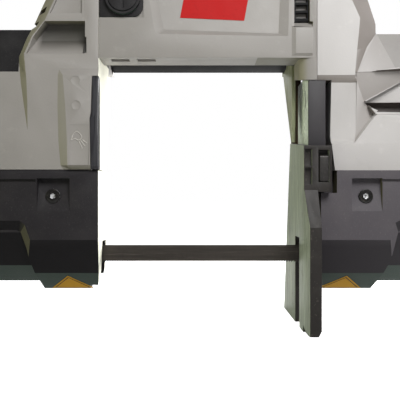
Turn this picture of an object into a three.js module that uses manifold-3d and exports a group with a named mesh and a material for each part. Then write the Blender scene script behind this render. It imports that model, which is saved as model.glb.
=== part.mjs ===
// A portable deep-cut band saw, held in its working pose with the blade at the bottom.
//
// Millimetres, +Z up. X runs along the saw, from the idler wheel (-X) to the drive wheel (+X), and the
// operator's
// side, with the motor panel and the guard screws, faces -Y. Everything is first placed from the cutting
// point: the
// middle of the throat, on the centre line of the blade where it crosses the throat. The last lines move the
// whole
// saw so that its origin is the middle of its bounding box, at the lowest point.
//
// The two band wheels lean back by WHEEL_TILT, so the cutting run of the blade is low and near the operator,
// while
// the return run passes high behind the motor. Guide rollers at both sides of the throat twist the blade
// upright.

import * as THREE from "three";
import { mergeVertices } from "three/addons/utils/BufferGeometryUtils.js";
import Module from "manifold-3d";

const wasm = await Module();
wasm.setup();

// ---------------------------------------------------------------- driving dimensions

const GAP = 0.3; // between pieces that touch
const WALL = 3; // shell thickness

const BLADE_WIDTH = 12.7;
const BLADE_THICK = 0.6;
const TYRE_RADIUS = 77; // outside of the rubber
const RIM_RADIUS = 73.7; // outside of the metal rim
const WHEEL_HALF = 8; // half the width of a wheel
const WHEEL_TILT = THREE.MathUtils.degToRad(18);
const WHEEL_SIDES = 32;
const IDLER_X = -160;
const DRIVE_X = 166;
const TENSION_TRAVEL = 5; // of the idler wheel
const RUN = TYRE_RADIUS + GAP + BLADE_THICK / 2; // from a wheel's axis to the middle of the blade
const WHEEL_Y = RUN * Math.sin(WHEEL_TILT);
const WHEEL_Z = RUN * Math.cos(WHEEL_TILT);

// Depths of the stack along the wheels' axis, from the front: web of the frame, wheel guard, wheel.
const WEB_FRONT = -18;
const WEB_BACK = -14.5;
const GUARD_FRONT = -14.2;
const GUARD_BACK = 17.2;
const GUARD_WALL = 2.4;
const GUARD_RADIUS = 98;

const FRONT = -25; // main front plane
const REAR = 56; // back of the motor housing
const SPINE_LOW = 138.3; // underside of the motor housing
const SPINE_TOP = 222;
const SEAM_LEFT = -70.6; // joint between idler housing and motor housing
const SEAM_RIGHT = 81.4; // joint between motor housing and gear housing
const CORNER_LOW = 123; // underside of the block in the throat's upper right corner, at the front
const CORNER_BACK = 3; // its back
const CORNER_RISE = 4.6; // how much higher its underside is at the back
const GUARD_TOP = 60; // joint between the grey housings and the black guards
const GUARD_LOW = -25.3;
const SHOULDER_LEFT = 129.8; // top of the idler housing's low part
const SHOULDER_RIGHT = 131; // top of the gear housing's low part
const IDLER_END = -248;
const DRIVE_END = 256;

const MOTOR_Y = 15;
const MOTOR_Z = 180.4;
const CAP_X = -53.6; // brush caps
const PINION_TEETH = 13;
const COUNTER_TEETH = 27;
const WORM_SHAFT_TEETH = 16;
const MODULE = 1.5; // pitch diameter of a gear over its number of teeth
const SPUR_X = 96; // left end of the three spur gears
const SPUR_WIDTH = 8;
const WORM_WHEEL_RADIUS = 30;
const WORM_RADIUS = 8;
const WORM_WHEEL_Y = -31.6; // along the wheels' axis

const GUIDE_LEFT = -87; // guide rollers
const GUIDE_RIGHT = 99;
const ROLLER_RADIUS = 6;

const SHOE_LEFT = 71; // face of the shoe towards the throat
const SHOE_WING = 75.4; // other face of its plate
const SHOE_LOW = -51.5; // what the work, or the saw, rests on
const SHOE_TOP = 76.6;

// ---------------------------------------------------------------- materials

const paint = (color, roughness, metalness) =>
  new THREE.MeshStandardMaterial({ color, roughness, metalness });
const GREY = paint(0xa39d96, 0.5, 0.25);
const CAST = paint(0xb4b8ac, 0.4, 0.7);
const BLACK = paint(0x2c2a2c, 0.6, 0);
const RED = paint(0xb3201c, 0.5, 0);
const RUBBER = paint(0x1c1c1c, 0.85, 0);
const STEEL = paint(0x8b8d88, 0.35, 0.9);
const BLADE_STEEL = paint(0x46443f, 0.4, 0.9);
const ZINC = paint(0xa9b3a0, 0.45, 0.8);
const BRASS = paint(0xb08d4a, 0.4, 0.9);
const COPPER = paint(0xa5633a, 0.4, 0.8);
const DARK_STEEL = paint(0x2a2826, 0.45, 0.6);
const PALE_GREY = paint(0xd2cdc9, 0.45, 0.25);

// ---------------------------------------------------------------- shapes

// A closed geometry as a solid that can be joined and cut. A geometry that came out inside out is turned
// round.
function solid(geometry) {
  const bare = geometry.clone();
  bare.deleteAttribute("normal");
  bare.deleteAttribute("uv");
  const merged = mergeVertices(bare, 1e-4);
  const vertProperties = merged.attributes.position.array;
  const triVerts = new Uint32Array(merged.index.array);
  const made = new wasm.Manifold(new wasm.Mesh({ numProp: 3, vertProperties, triVerts }));
  if (made.volume() >= 0) return made;
  return new wasm.Manifold(new wasm.Mesh({ numProp: 3, vertProperties, triVerts: triVerts.reverse() }));
}

function geometryOf(made) {
  const mesh = made.getMesh();
  const geometry = new THREE.BufferGeometry();
  geometry.setAttribute("position", new THREE.BufferAttribute(new Float32Array(mesh.vertProperties), 3));
  geometry.setIndex(new THREE.BufferAttribute(new Uint32Array(mesh.triVerts), 1));
  geometry.computeVertexNormals();
  return geometry;
}

const join = (first, ...others) => geometryOf(others.reduce((all, g) => all.add(solid(g)), solid(first)));
const cut = (first, ...others) => geometryOf(others.reduce((left, g) => left.subtract(solid(g)),
  solid(first)));
const common = (first, second) => geometryOf(solid(first).intersect(solid(second)));

function box(x0, x1, y0, y1, z0, z1) {
  return new THREE.BoxGeometry(x1 - x0, y1 - y0, z1 - z0)
    .translate((x0 + x1) / 2, (y0 + y1) / 2, (z0 + z1) / 2);
}

// An outline of [x, z] points, filled from y0 to y1.
function slab(outline, y0, y1) {
  const shape = new THREE.Shape(outline.map(([x, z]) => new THREE.Vector2(x, z)));
  return new THREE.ExtrudeGeometry(shape, { depth: y1 - y0, bevelEnabled: false })
    .rotateX(Math.PI / 2)
    .translate(0, y1, 0);
}

// An outline of [y, z] points, filled from x0 to x1.
function sideSlab(outline, x0, x1) {
  const shape = new THREE.Shape(outline.map(([y, z]) => new THREE.Vector2(y, z)));
  return new THREE.ExtrudeGeometry(shape, { depth: x1 - x0, bevelEnabled: false })
    .applyMatrix4(new THREE.Matrix4().makeBasis(
      new THREE.Vector3(0, 1, 0), new THREE.Vector3(0, 0, 1), new THREE.Vector3(1, 0, 0)))
    .translate(x0, 0, 0);
}

// A round bar along Y from y0 to y1, about (x, z).
function rod(x, z, y0, y1, radius, sides = 24) {
  return new THREE.CylinderGeometry(radius, radius, y1 - y0, sides).translate(x, (y0 + y1) / 2, z);
}

// A round bar along X from x0 to x1, about (y, z).
function bar(x0, x1, y, z, radius, sides = 24) {
  return new THREE.CylinderGeometry(radius, radius, x1 - x0, sides)
    .rotateZ(Math.PI / 2)
    .translate((x0 + x1) / 2, y, z);
}

// A profile of [radius, height] points, turned about Y.
function turned(profile, sides = WHEEL_SIDES) {
  return new THREE.LatheGeometry(profile.map(([r, h]) => new THREE.Vector2(r, h)), sides);
}

// Points of an arc about (x, z), from one angle to another in degrees, counted from +X towards +Z.
function arc(x, z, radius, from, to, steps) {
  return Array.from({ length: steps + 1 }, (_, i) => {
    const a = THREE.MathUtils.degToRad(from + ((to - from) * i) / steps);
    return [x + radius * Math.cos(a), z + radius * Math.sin(a)];
  });
}

// A skin through rings of equally many points, with its two ends closed, or joined to each other.
function loft(rings, closed = false) {
  const count = rings[0].length;
  const position = rings.flat().flatMap((p) => [p.x, p.y, p.z]);
  const index = [];
  const last = closed ? rings.length : rings.length - 1;
  for (let i = 0; i < last; i += 1) {
    const a = i * count;
    const b = ((i + 1) % rings.length) * count;
    for (let j = 0; j < count; j += 1) {
      const k = (j + 1) % count;
      index.push(a + j, a + k, b + k, a + j, b + k, b + j);
    }
  }
  if (!closed) {
    const end = (rings.length - 1) * count;
    for (let j = 1; j < count - 1; j += 1) {
      index.push(0, j + 1, j);
      index.push(end, end + j, end + j + 1);
    }
  }
  const geometry = new THREE.BufferGeometry();
  geometry.setAttribute("position", new THREE.Float32BufferAttribute(position, 3));
  geometry.setIndex(index);
  return geometry;
}

// A cutter over an outline of [x, z, depth] points: it reaches that deep behind the front plane at each
// point.
function sunk(outline) {
  const ring = (y) => outline.map(([x, z, depth]) => new THREE.Vector3(x, y ?? FRONT + depth, z));
  return loft([ring(FRONT - 9), ring()]);
}

// A skin over level outlines: each ring has its height, then [x, y] points.
const stacked = (rings) => loft(rings.map(([z, ...points]) => points.map(([x, y]) => new THREE.Vector3(x, y,
  z))));

// An outline of [x, y] points, filled from z0 to z1.
function alongZ(plan, z0, z1) {
  const shape = new THREE.Shape(plan.map(([x, y]) => new THREE.Vector2(x, y)));
  return new THREE.ExtrudeGeometry(shape, { depth: z1 - z0, bevelEnabled: false }).translate(0, 0, z0);
}

// The frame of the wheels: x as it is, y along their axes towards the back, z up in their common plane.
const wheelMatrix = new THREE.Matrix4()
  .makeRotationX(-WHEEL_TILT)
  .setPosition(0, WHEEL_Y, WHEEL_Z);
const leaning = (geometry) => geometry.clone().applyMatrix4(wheelMatrix);
const upright = (y, z) => new THREE.Vector3(0, y, z).applyMatrix4(wheelMatrix);

// ---------------------------------------------------------------- the saw

const saw = new THREE.Group(); // measured from the cutting point
const wheels = new THREE.Group(); // measured in the frame of the wheels
wheels.rotation.x = -WHEEL_TILT;
wheels.position.set(0, WHEEL_Y, WHEEL_Z);
saw.add(wheels);

function node(name, geometry, material, parent = saw) {
  const mesh = new THREE.Mesh(geometry, material);
  mesh.name = name;
  parent.add(mesh);
  return mesh;
}

// A block from x0 to x1 and y0 to y1, between height and the underside of the throat's corner block, which
// rises
// towards the back. It starts or ends gap from that underside.
function underCorner(y0, y1, x0, x1, gap, height) {
  const rise = (y) => CORNER_LOW + CORNER_RISE * THREE.MathUtils.clamp((y - FRONT) / (CORNER_BACK - FRONT),
    0, 1) - gap;
  const bends = [y0, Math.min(Math.max(FRONT, y0), y1), Math.min(CORNER_BACK, y1), y1]
    .filter((y, i, all) => i === 0 || y > all[i - 1]);
  return sideSlab([[y0, height], ...bends.map((y) => [y, rise(y)]), [y1, height]], x0, x1);
}

// ---- outlines of the front view

const idlerOutline = [
  [SEAM_LEFT, 20],
  [SEAM_LEFT, SPINE_TOP],
  [-88, SPINE_TOP],
  [-110, 178.5],
  [-121, 154.4],
  [-127.5, 139.8],
  [-127.9, SHOULDER_LEFT],
  ...arc(IDLER_END + 68, SHOULDER_LEFT - 68, 68, 90, 180, 6),
  [IDLER_END, 20],
];

const gearOutline = [
  [SEAM_RIGHT + GAP, CORNER_LOW],
  [92, CORNER_LOW],
  [91, 84],
  [94, GUARD_TOP],
  [94, 20],
  [DRIVE_END, 20],
  ...arc(DRIVE_END - 68, SHOULDER_RIGHT - 68, 68, 0, 90, 6),
  [139.5, SHOULDER_RIGHT],
  [137.5, 132],
  [126, 154.5],
  [124, 157.5],
  [124, 163],
  [119, 179],
  [104, SPINE_TOP],
  [SEAM_RIGHT + GAP, SPINE_TOP],
];

// An outline moved inwards by d.
function inset(outline, d) {
  const area = outline.reduce((sum, [x, z], i) => {
    const [u, w] = outline[(i + 1) % outline.length];
    return sum + x * w - u * z;
  }, 0);
  const side = Math.sign(area) * d;
  return outline.map((p, i) => {
    const a = outline[(i + outline.length - 1) % outline.length];
    const b = outline[(i + 1) % outline.length];
    const u = new THREE.Vector2(p[0] - a[0], p[1] - a[1]).normalize();
    const v = new THREE.Vector2(b[0] - p[0], b[1] - p[1]).normalize();
    const scale = side / (1 + u.dot(v));
    return [p[0] - (u.y + v.y) * scale, p[1] + (u.x + v.x) * scale];
  });
}

// A hollow shell: what both outlines enclose, less the same moved inwards.
function shell(front, side, wall, x0, x1, y0, y1) {
  const outer = common(slab(front, y0, y1), sideSlab(side, x0, x1));
  const inner = common(slab(inset(front, wall), y0 - 1, y1 + 1), sideSlab(inset(side, wall), x0 - 1, x1 + 1));
  return [outer, inner];
}

// Everything behind the front housings: the space of the web, the guards and the wheels.
const FAR = 400;
const behindWeb = leaning(box(-FAR, FAR, WEB_FRONT - GAP, FAR, -FAR, FAR));
const belowSeam = box(-FAR, FAR, -FAR, FAR, -FAR, GUARD_TOP + 0.6);

// ---- frame: a web in front of the wheels, and a bridge behind the motor

// The outline round a wheel at x: square towards the throat, round on the outer side, open below.
function archOutline(x, radius, inner, outer, low) {
  const turn = Math.sign(x);
  const round = arc(x, 0, radius, 90, 90 - 90 * turn,
    10).map(([u, w]) => [turn * Math.min(turn * u, turn * outer), w]);
  const kept = round.filter(([u, w], i) => i === round.length - 1 || u !== round[i + 1][0] || w > low + 60);
  return [[outer, low], [inner, low], [inner, radius], ...kept.filter(([, w]) => w > low + 1)];
}

function mainFrame() {
  const web = (x, inner, outer, tongue0, tongue1) => join(
    slab(archOutline(x, 90, inner, outer, -10), WEB_FRONT, WEB_BACK),
    box(x - 72, x + 72, WEB_FRONT, WEB_BACK, -42, -9),
    box(tongue0, tongue1, WEB_FRONT, WEB_BACK, -58, -9));
  const webs = [web(IDLER_X, -71.2, -244, -97, -80), web(DRIVE_X, 84.3, 250, 92, 108)];
  const holes = [
    box(IDLER_X - 15, IDLER_X + 15 + TENSION_TRAVEL, -30, 0, -9.3, 9.3),
    turned([[0, -30], [11, -30], [11, 0], [0, 0]], 24).translate(DRIVE_X, 0, 0),
  ];
  const leant = webs.map((g) => leaning(g));
  const side = [[28, 136], [61, 141], [61, 166], [37, 166]];
  const gussets = [sideSlab(side, -74.5, -71.2), sideSlab(side, 81.7, 84.6)];
  const bridge = box(-74.5, 84.6, 57.5, 61, 147, 166);
  const slideWeb = sideSlab([[3.4, 138.4], [3.4, 98], [6, 82.4], [8.6, 82.4], [54, 140], [61, 141], [61, 150],
    [57.6, 150], [57.6, 142.6], [38, 142.6], [35, 145.2]], 68, 70.5);
  const ribs = [-40, 0, 40].map((x) => box(x - 1.5, x + 1.5, 60, 63, 149, 164));
  const run = leaning(box(-80, 90, -8.5, 8.5, RUN - 4, RUN + 4));
  const joined = join(leant[0], leant[1], ...gussets, bridge, slideWeb, ...ribs);
  return cut(joined, run, ...holes.map((g) => leaning(g)));
}
node("main_frame", mainFrame(), CAST);

// ---- wheel guards: a cap over the upper half of each wheel, and the plate of the return run

function wheelGuard(x, inner, outer, hole) {
  const turn = Math.sign(x);
  const outline = archOutline(x, GUARD_RADIUS, inner, outer, -40);
  const outside = slab(outline, GUARD_FRONT, GUARD_BACK);
  const hollow = archOutline(x, GUARD_RADIUS - GUARD_WALL, inner + turn * GUARD_WALL,
    outer - turn * GUARD_WALL, -60);
  const inside = slab(hollow, GUARD_FRONT + GUARD_WALL, GUARD_BACK - GUARD_WALL);
  const run = box(inner - 6, inner + 6, -8.5, 8.5, RUN - 4, RUN + 4);
  return cut(leaning(cut(outside, inside, run, hole)), belowSeam);
}
const slideHole = box(IDLER_X - 15, IDLER_X + 15 + TENSION_TRAVEL, -30, 0, -9.3, 9.3);
const shaftHole = turned([[0, -30], [11, -30], [11, 0], [0, 0]], 24).translate(DRIVE_X, 0, 0);
node("idler_wheel_guard", wheelGuard(IDLER_X, -75, -250, slideHole), BLACK);
node("drive_wheel_guard", wheelGuard(DRIVE_X, 85, 256, shaftHole), GREY);

node("return_blade_guard", cut(
  sideSlab([[38.3, 147.8], [57, 143.6], [57, 156.5], [38.3, 156.5]], -71, 80.5),
  sideSlab([[40, 148.8], [55.6, 144.5], [55.6, 155], [40, 155]], -72, 81.5)), BLACK);

// A black plate on the web over the idler wheel, where the housing leaves it in view.
const COVER_FRONT = WEB_FRONT - 2.4;
node("idler_cover_plate", cut(
  leaning(slab(archOutline(IDLER_X, GUARD_RADIUS, -90, -250, 20), COVER_FRONT, WEB_FRONT - GAP)),
  box(-FAR, FAR, -FAR, FAR, -FAR, SHOULDER_LEFT + GAP), box(-128.4, FAR, -FAR, FAR, -FAR, FAR)), BLACK);

// ---- idler housing: the grey front shell on the left

const PAD_FRONT = FRONT - 4.5; // the column beside the throat stands proud

// The raised column: each ring has its height, its left foot, its left edge and its face.
const column = stacked([[130, -98, -96.5, -25.3], [126, -99, -95.2, -27], [105, -99.2, -93.2, -28],
  [80, -98.5, -91.8, -29], [63.4, -97, -91.4, PAD_FRONT], [GUARD_TOP + 0.6, -95.4, -90.4, -27]]
  .map(([z, foot, edge, y]) => [z, [foot, -23], [foot, FRONT], [edge, y], [SEAM_LEFT, y], [SEAM_LEFT, -23]]));

// What is cut off the left side: a bevel down to the low part, whose face falls back towards its top. Each
// ring has
// its height, the ridge and the foot of the bevel, and its depth.
const leftBevel = stacked([[224, -78.6, -90, 9.5], [178.5, -101.6, -113, 9.5], [164.6, -107.9, -119.5, 9.5],
  [153.4, -116.9, -124.5, 7.5], [140.9, -122.5, -128, 6.5], [122.8, -120.8, -126.3, 5.5],
  [108.9, -120.2, -123.9, 3.4], [88, -119.7, -120, 0]]
  .map(([z, ridge, foot, depth]) => [z, [-270, FRONT - 9], [ridge, FRONT - 9], [ridge, FRONT],
    [foot, FRONT + depth], [-270, FRONT + depth]]));

const lensOutline = (d) => [[-74.6 - d, 125.1 + d], [-75.3 - d, 100], [-76 - d, 96],
  [-75.4 - d, GUARD_TOP + 0.6 - d],
  [-70.3 + d, GUARD_TOP + 0.6 - d], [-70.3 + d, 125.1 + d]];

function idlerHousing() {
  const side = [[FRONT, 10], [FRONT, SPINE_TOP], [REAR, SPINE_TOP], [REAR, 10]];
  const [outer, inner] = shell(idlerOutline, side, WALL, IDLER_END - 1, SEAM_LEFT + 1, FRONT - 5, REAR + 5);
  const thick = join(box(-129, -73, FRONT + 2, FRONT + 16, 134, 220),
    box(-150, -118, FRONT + 2, FRONT + 10, 84, 130),
    box(-247, -118, FRONT + 2, FRONT + 9.5, 96, 130),
      box(-100, -72, FRONT + 2, FRONT + 6.5, GUARD_TOP + 0.6, 220));
  const pocket = common(
    slab([[-108, 163.9], [-80, 163.9], [-80, 140.9], [-121, 140.9], [-116.2, 152.7]], FRONT - 1, FRONT + 13),
    sideSlab([[FRONT - 2, 164], [FRONT + 11.5, 164], [FRONT + 11, 152.5], [FRONT + 1.8, 141.6],
      [FRONT - 2, 140.8]],
      -130, -70));
  const pocketEnd = box(-82.2, -79, FRONT - 1, FRONT + 9, 141.8, 152.8);
  const panel = slab([[-104.4, 169.5], [-82.1, 169.5], [-82.1, 206], [-89, 206], [-100.2, 178.5]], FRONT - 1,
    FRONT + 2.4);
  const vents = [[[-112.2, 172.9], [-107.2, 175], [-108.6, 170.8], [-114.1, 169]],
    [[-117.6, 163.2], [-112.8, 164.9], [-114.8, 161.1], [-119.8, 159.1]],
    [[-105.9, 186.8], [-100.9, 188.9], [-102.3, 184.7], [-107.8, 182.9]]].map((hole) => slab(hole, FRONT - 1,
      FRONT + 13));
  const label = box(-90.4, -76.6, PAD_FRONT - 1, PAD_FRONT + 1.1, 63.6, 91.3);
  const lensSeat = slab(lensOutline(GAP), PAD_FRONT - 1, FRONT + 5);
  const marks = [[-86.2, 122.2, -26.7], [-85.6, 104.9, -27.6]].map(([x, z, y]) => cut(
    rod(x, z, y - 0.6, y + 1.5, 3.5), rod(x, z, y - 1, y + 2, 3)));
  const pivot = rod(-205, 96, FRONT - 1, FRONT + 12, 6.3);
  const shellOnly = cut(common(outer, box(-FAR, FAR, -FAR, FAR, GUARD_TOP + 0.5, FAR)), inner);
  const bevelled = cut(join(shellOnly, common(thick, outer)), leftBevel);
  const seat = rod(-205, 96, FRONT - 1, FRONT + 1, 14);
  return cut(join(bevelled, column, ...marks), pocket, pocketEnd, panel, ...vents, label, lensSeat, pivot,
    seat, behindWeb);
}
node("idler_housing", idlerHousing(), GREY);
node("work_light_lens", common(
  slab(lensOutline(0), PAD_FRONT - 1, FRONT + 4.7),
  sideSlab([[FRONT + 5, 126], [-26.8, 126], [-28.2, 98], [-29.2, 96], [-29.3, 63], [-27.4, 60],
    [FRONT + 5, 60]],
    -78, -70)), DARK_STEEL);

// ---- motor housing: the spine over the throat

function motorHousing() {
  const section = [[FRONT, SPINE_LOW], [1, SPINE_LOW], [36, 146], [36, 158], [REAR, 158], [REAR, SPINE_TOP],
    [FRONT, SPINE_TOP]];
  const left = SEAM_LEFT + GAP;
  const corner = common(
    alongZ([[SEAM_RIGHT, FRONT], [SEAM_RIGHT, CORNER_BACK], [69.4, CORNER_BACK], [69.4, -12.5],
      ...arc(79.4, -15, 10, 194, 260, 6)], CORNER_LOW, SPINE_LOW + 1),
    underCorner(-30, CORNER_BACK, 60, 90, 0, SPINE_TOP));
  const outer = join(sideSlab(section, left, SEAM_RIGHT), corner);
  const inner = sideSlab(inset(section, WALL), left + WALL, SEAM_RIGHT - WALL);
  const thick = box(left + 1, SEAM_RIGHT - 1, FRONT + 1, FRONT + 8, 141, 218);
  const rim = [[-40.7, 214], [-32, 159], [-31.2, 156.6], [-29.2, 154.9], [61.4, 153.2], [62.8, 214]];
  const floor = [[-35.4, 208], [-25.8, 160.8], [-25.2, 159.5], [-23.8, 158.8], [55, 156], [57, 208]];
  const panel = loft([[FRONT - 3, rim], [FRONT, rim], [FRONT + 3.6, floor]]
    .map(([y, ring]) => ring.map(([x, z]) => new THREE.Vector3(x, y, z))));
  const raised = loft([[FRONT + 1, 63, 78.8, 138.6, 161], [FRONT, 63.8, 78.3, 139.4, 160.4],
    [FRONT - 1.6, 66.6, 78, 141.2, 159]].map(([y, x0, x1, z0, z1]) =>
    [[x0, z0], [x1, z0], [x1, z1], [x0, z1]].map(([x, z]) => new THREE.Vector3(x, y, z))));
  const capSeat = box(left - 1, -39.4, FRONT - 1, FRONT + 1.3, 166.4, 194.4);
  const capHoles = rod(CAP_X, MOTOR_Z, FRONT - 2, REAR + 2, 10.3);
  const bearings = bar(left - 1, SEAM_RIGHT + 1, MOTOR_Y, MOTOR_Z, 9.3);
  const slots = [-56.5, -38].map((x) => box(x - 6.5, x + 6.5, -20, -12, SPINE_LOW - 1, SPINE_LOW + 4));
  const louvreSeat = box(65.6, 76.4, FRONT - 1, FRONT + 7, 163.6, 212.4);
  const slope = sideSlab([[FRONT - 1, 158.8], [FRONT + 4, 163.7], [FRONT - 1, 163.7]], 65.6, 78.6);
  return cut(join(cut(outer, inner), common(thick, outer), raised),
    panel, capSeat, capHoles, bearings, ...slots, louvreSeat, slope);
}
node("motor_housing", motorHousing(), GREY);

function louvre() {
  const slots = Array.from({ length: 8 }, (_, i) => box(67, 75, FRONT, FRONT + 7, 166.4 + 5.6 * i,
    170.2 + 5.6 * i));
  return cut(box(66, 76, FRONT + 2.6, FRONT + 6.6, 164, 212), ...slots);
}
node("fan_louvre", louvre(), BLACK);

// ---- gear housing: the lighter front shell on the right

function gearHousing() {
  const side = [[FRONT, 10], [FRONT, SPINE_TOP], [REAR, SPINE_TOP], [REAR, 10]];
  const [outer, inner] = shell(gearOutline, side, WALL, SEAM_RIGHT, DRIVE_END + 1, FRONT - 5, REAR + 5);
  const body = cut(common(outer, box(-FAR, FAR, -FAR, FAR, GUARD_TOP, FAR)), inner);
  const thick = common(join(box(105.2, 139, FRONT + 2, FRONT + 12, 127, 220),
    box(90, 134, FRONT + 2, FRONT + 13, 76, 131),
    box(134, 176, FRONT + 2, FRONT + 13, 98, 131)), outer);
  const facets = [
    // bevel along the right side of the upper part
    [[91, 223, 0], [105.8, 178.5, 0], [121, 178.5, 8], [107, 223, 8]],
    [[105.8, 178.6, 0], [111.4, 166, 0], [126, 166, 8], [121, 178.6, 8]],
    [[111.4, 166.1, 0], [110.7, 157.6, 0], [125, 157.6, 7.5], [126, 166.1, 8]],
    [[110.7, 157.7, 0], [109.3, 143.7, 0], [117.4, 147, 4.6], [125, 157.7, 7.5]],
    [[109.3, 143.8, 0], [107.9, 127.9, 0], [109.6, 127.9, 0.7], [117.4, 147.1, 4.6]],
    // pale triangle beside it
    [[125, 157.8, 7.5], [117.4, 147.1, 4.6], [109.4, 127.7, 0.7], [139, 131.6, 5], [140, 134, 5.4]],
    // shaded band and the sunk face below it
    [[80, 126.3, 0], [108.6, 126.3, 0], [109.6, 121.4, 2.8], [80, 121.4, 2.8]],
    [[80, 121.5, 2.8], [109.6, 121.5, 2.8], [108.6, 80.6, 2], [80, 79.4, 2]],
    [[80, 79.5, 2], [108.6, 80.7, 2], [107.6, 78.8, 0], [80, 77.7, 0]],
    // valley to the right of it
    [[108.3, 128.3, 0.9], [158, 132.3, 3], [157, 130.9, 8], [114.8, 108.4, 6.4]],
    [[108.2, 128.5, 0.9], [115, 108.5, 6.4], [122, 99.7, 6.2], [119.8, 97, 5], [108.2, 80.3, 2.1]],
    [[119.6, 97.2, 5], [122, 99.9, 5], [123.4, 98.6, 0], [119.9, 96, 0]],
    [[108.1, 80.6, 2.2], [119.8, 97.2, 5], [120.8, 96.4, 0], [107.3, 78.6, 0]],
    // wedge over the slot, and the slot
    [[115.2, 107.7, 6], [157.6, 131.4, 4.4], [174, 132, 2], [174, 107.7, 1.4]],
    [[115.4, 107.8, 11.5], [174, 107.8, 11.5], [174, 100.3, 11.5], [125, 101.2, 11.5], [119, 103.6, 11.5]],
    [[121.8, 99.6, 5], [124, 101.8, 5], [174, 100.4, 5], [174, 98.6, 0], [124, 98.6, 0]],
  ];
  const bearing = bar(SEAM_RIGHT, SEAM_RIGHT + 5, MOTOR_Y, MOTOR_Z, 9.3);
  return cut(join(body, thick), ...facets.map(sunk), bearing, behindWeb);
}
node("gear_housing", gearHousing(), PALE_GREY);

// ---- blade guards: black shells round the lower halves of the wheels

const guardSide = [[FRONT, GUARD_TOP + 20], [FRONT, 11.5], [-15, -12.6], [-1, GUARD_LOW], [7, GUARD_LOW],
  [12, -19],
  [37, GUARD_TOP], [43.5, GUARD_TOP + 20]];

const SCREW_Y = FRONT + 1.9; // front of the guard screws' heads

// The space of a guard's outer part, which is set back by STEP: what is behind an edge of points, each with
// its
// x and z at the front plane, then at the set-back plane, all moved towards the throat by grow.
const STEP = 5;
function setBackSpace(sign, edge, grow) {
  const ring = (y, k) => [[260, -40], [260, edge[0][k + 1]], ...edge.map((p) => [p[k], p[k + 1]]),
    [edge.at(-1)[k], -40]]
    .map(([x, z]) => new THREE.Vector3(sign * (x < 200 ? x - grow : x), y, z > 0 ? z + grow : z));
  return loft([ring(FRONT - 2, 0), ring(FRONT, 0), ring(FRONT + STEP, 2), ring(FRONT + 45, 2)]);
}
const setBack = (profile) => sideSlab(profile.map(([y, z]) => [y + STEP, z + STEP]), -FAR, FAR);

function bladeGuard(front, boss, cuts, sign, edge, notch) {
  const [outer, whole] = shell(front, guardSide, WALL, -300, 300, FRONT - 5, REAR + 5);
  const inner = cut(whole, cut(setBackSpace(sign, edge, WALL), setBack(inset(guardSide, WALL))));
  const body = cut(common(outer, box(-FAR, FAR, -FAR, FAR, -FAR, GUARD_TOP)),
    cut(setBackSpace(sign, edge, 0), setBack(guardSide)));
  const thick = box(boss - 17, boss + 17, FRONT + 1, FRONT + 9.5, 28, 57);
  const filled = (made) => cut(join(made, thick), ...cuts, rod(boss, 42, FRONT - 1, FRONT + 11, 2.4, 12),
    rod(boss, 42, FRONT - 1, SCREW_Y + 2.3, 5.3));
  if (!notch) return filled(cut(body, inner));
  const [x0, x1, y0, y1, z0, z1] = notch;
  const round = box(x0, x1 + WALL, y0, y1 + WALL, z0 - WALL, z1);
  return filled(cut(body, box(...notch), cut(inner, round)));
}
const leftGuardOutline = [[-70.9, GUARD_TOP + 20], [-70.9, 11.5], [-72, -12.6], [-74.5, GUARD_LOW],
  ...arc(IDLER_END + 68, GUARD_LOW + 68, 68, 270, 180, 6), [IDLER_END, GUARD_TOP + 20]];
const rightGuardOutline = [[84.2, GUARD_TOP + 20], [84.2, -12.6], [86.5, GUARD_LOW],
  ...arc(DRIVE_END - 68, GUARD_LOW + 68, 68, 270, 360, 6), [DRIVE_END, GUARD_TOP + 20]];
const groove = (x0, x1) => box(x0, x1, FRONT - 1, FRONT + 1.8, 51.8, 53.8);
const wedge = (x0, x1) => sideSlab([[FRONT - 1, 54.4], [FRONT + 6, 54.4], [FRONT + 5, 46.5], [FRONT, 31.5],
  [FRONT - 1, 31.5]], x0, x1);
node("left_blade_guard", bladeGuard(leftGuardOutline, -103, [
  box(-80, -69, -4, 13, -40, 9.5), groove(-300, -114.5), wedge(-113.6, -90.8),
], -1, [[125.5, 24.9, 129, 18.2], [122, 22, 126.2, 16.8], [118.3, 11.5, 122, 5], [115.5, -4.1, 119.3, -6],
  [110.5, -26, 113.5, -26], [107, -40, 110, -40]]), BLACK);
node("right_blade_guard", bladeGuard(rightGuardOutline, 116, [
  box(80, 90, -4, 13, -40, 9.5), groove(106, 300), wedge(105.8, 127),
], 1, [[138.5, 24.9, 142, 18.2], [136, 23.5, 139.5, 16.8], [132.2, 10, 136.2, 4], [129.5, -5, 133, -7],
  [121.5, -26, 124.5, -26], [118, -40, 121, -40]], [80, 95.3, -30, -11, 44.2, 61]), BLACK);

// ---- screws

const screwHead = (x, z, y, radius) => cut(
  join(rod(x, z, y, y + 2.2, radius, 16), rod(x, z, y + 2, y + 8, 2, 12)),
  rod(x, z, y - 1, y + 1.4, radius * 0.42, 6));
node("left_guard_screw", screwHead(-103, 42, SCREW_Y, 5), DARK_STEEL);
node("right_guard_screw", screwHead(116, 42, SCREW_Y, 5), DARK_STEEL);

// ---- blade: a closed band, twisted upright between the guides

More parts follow.
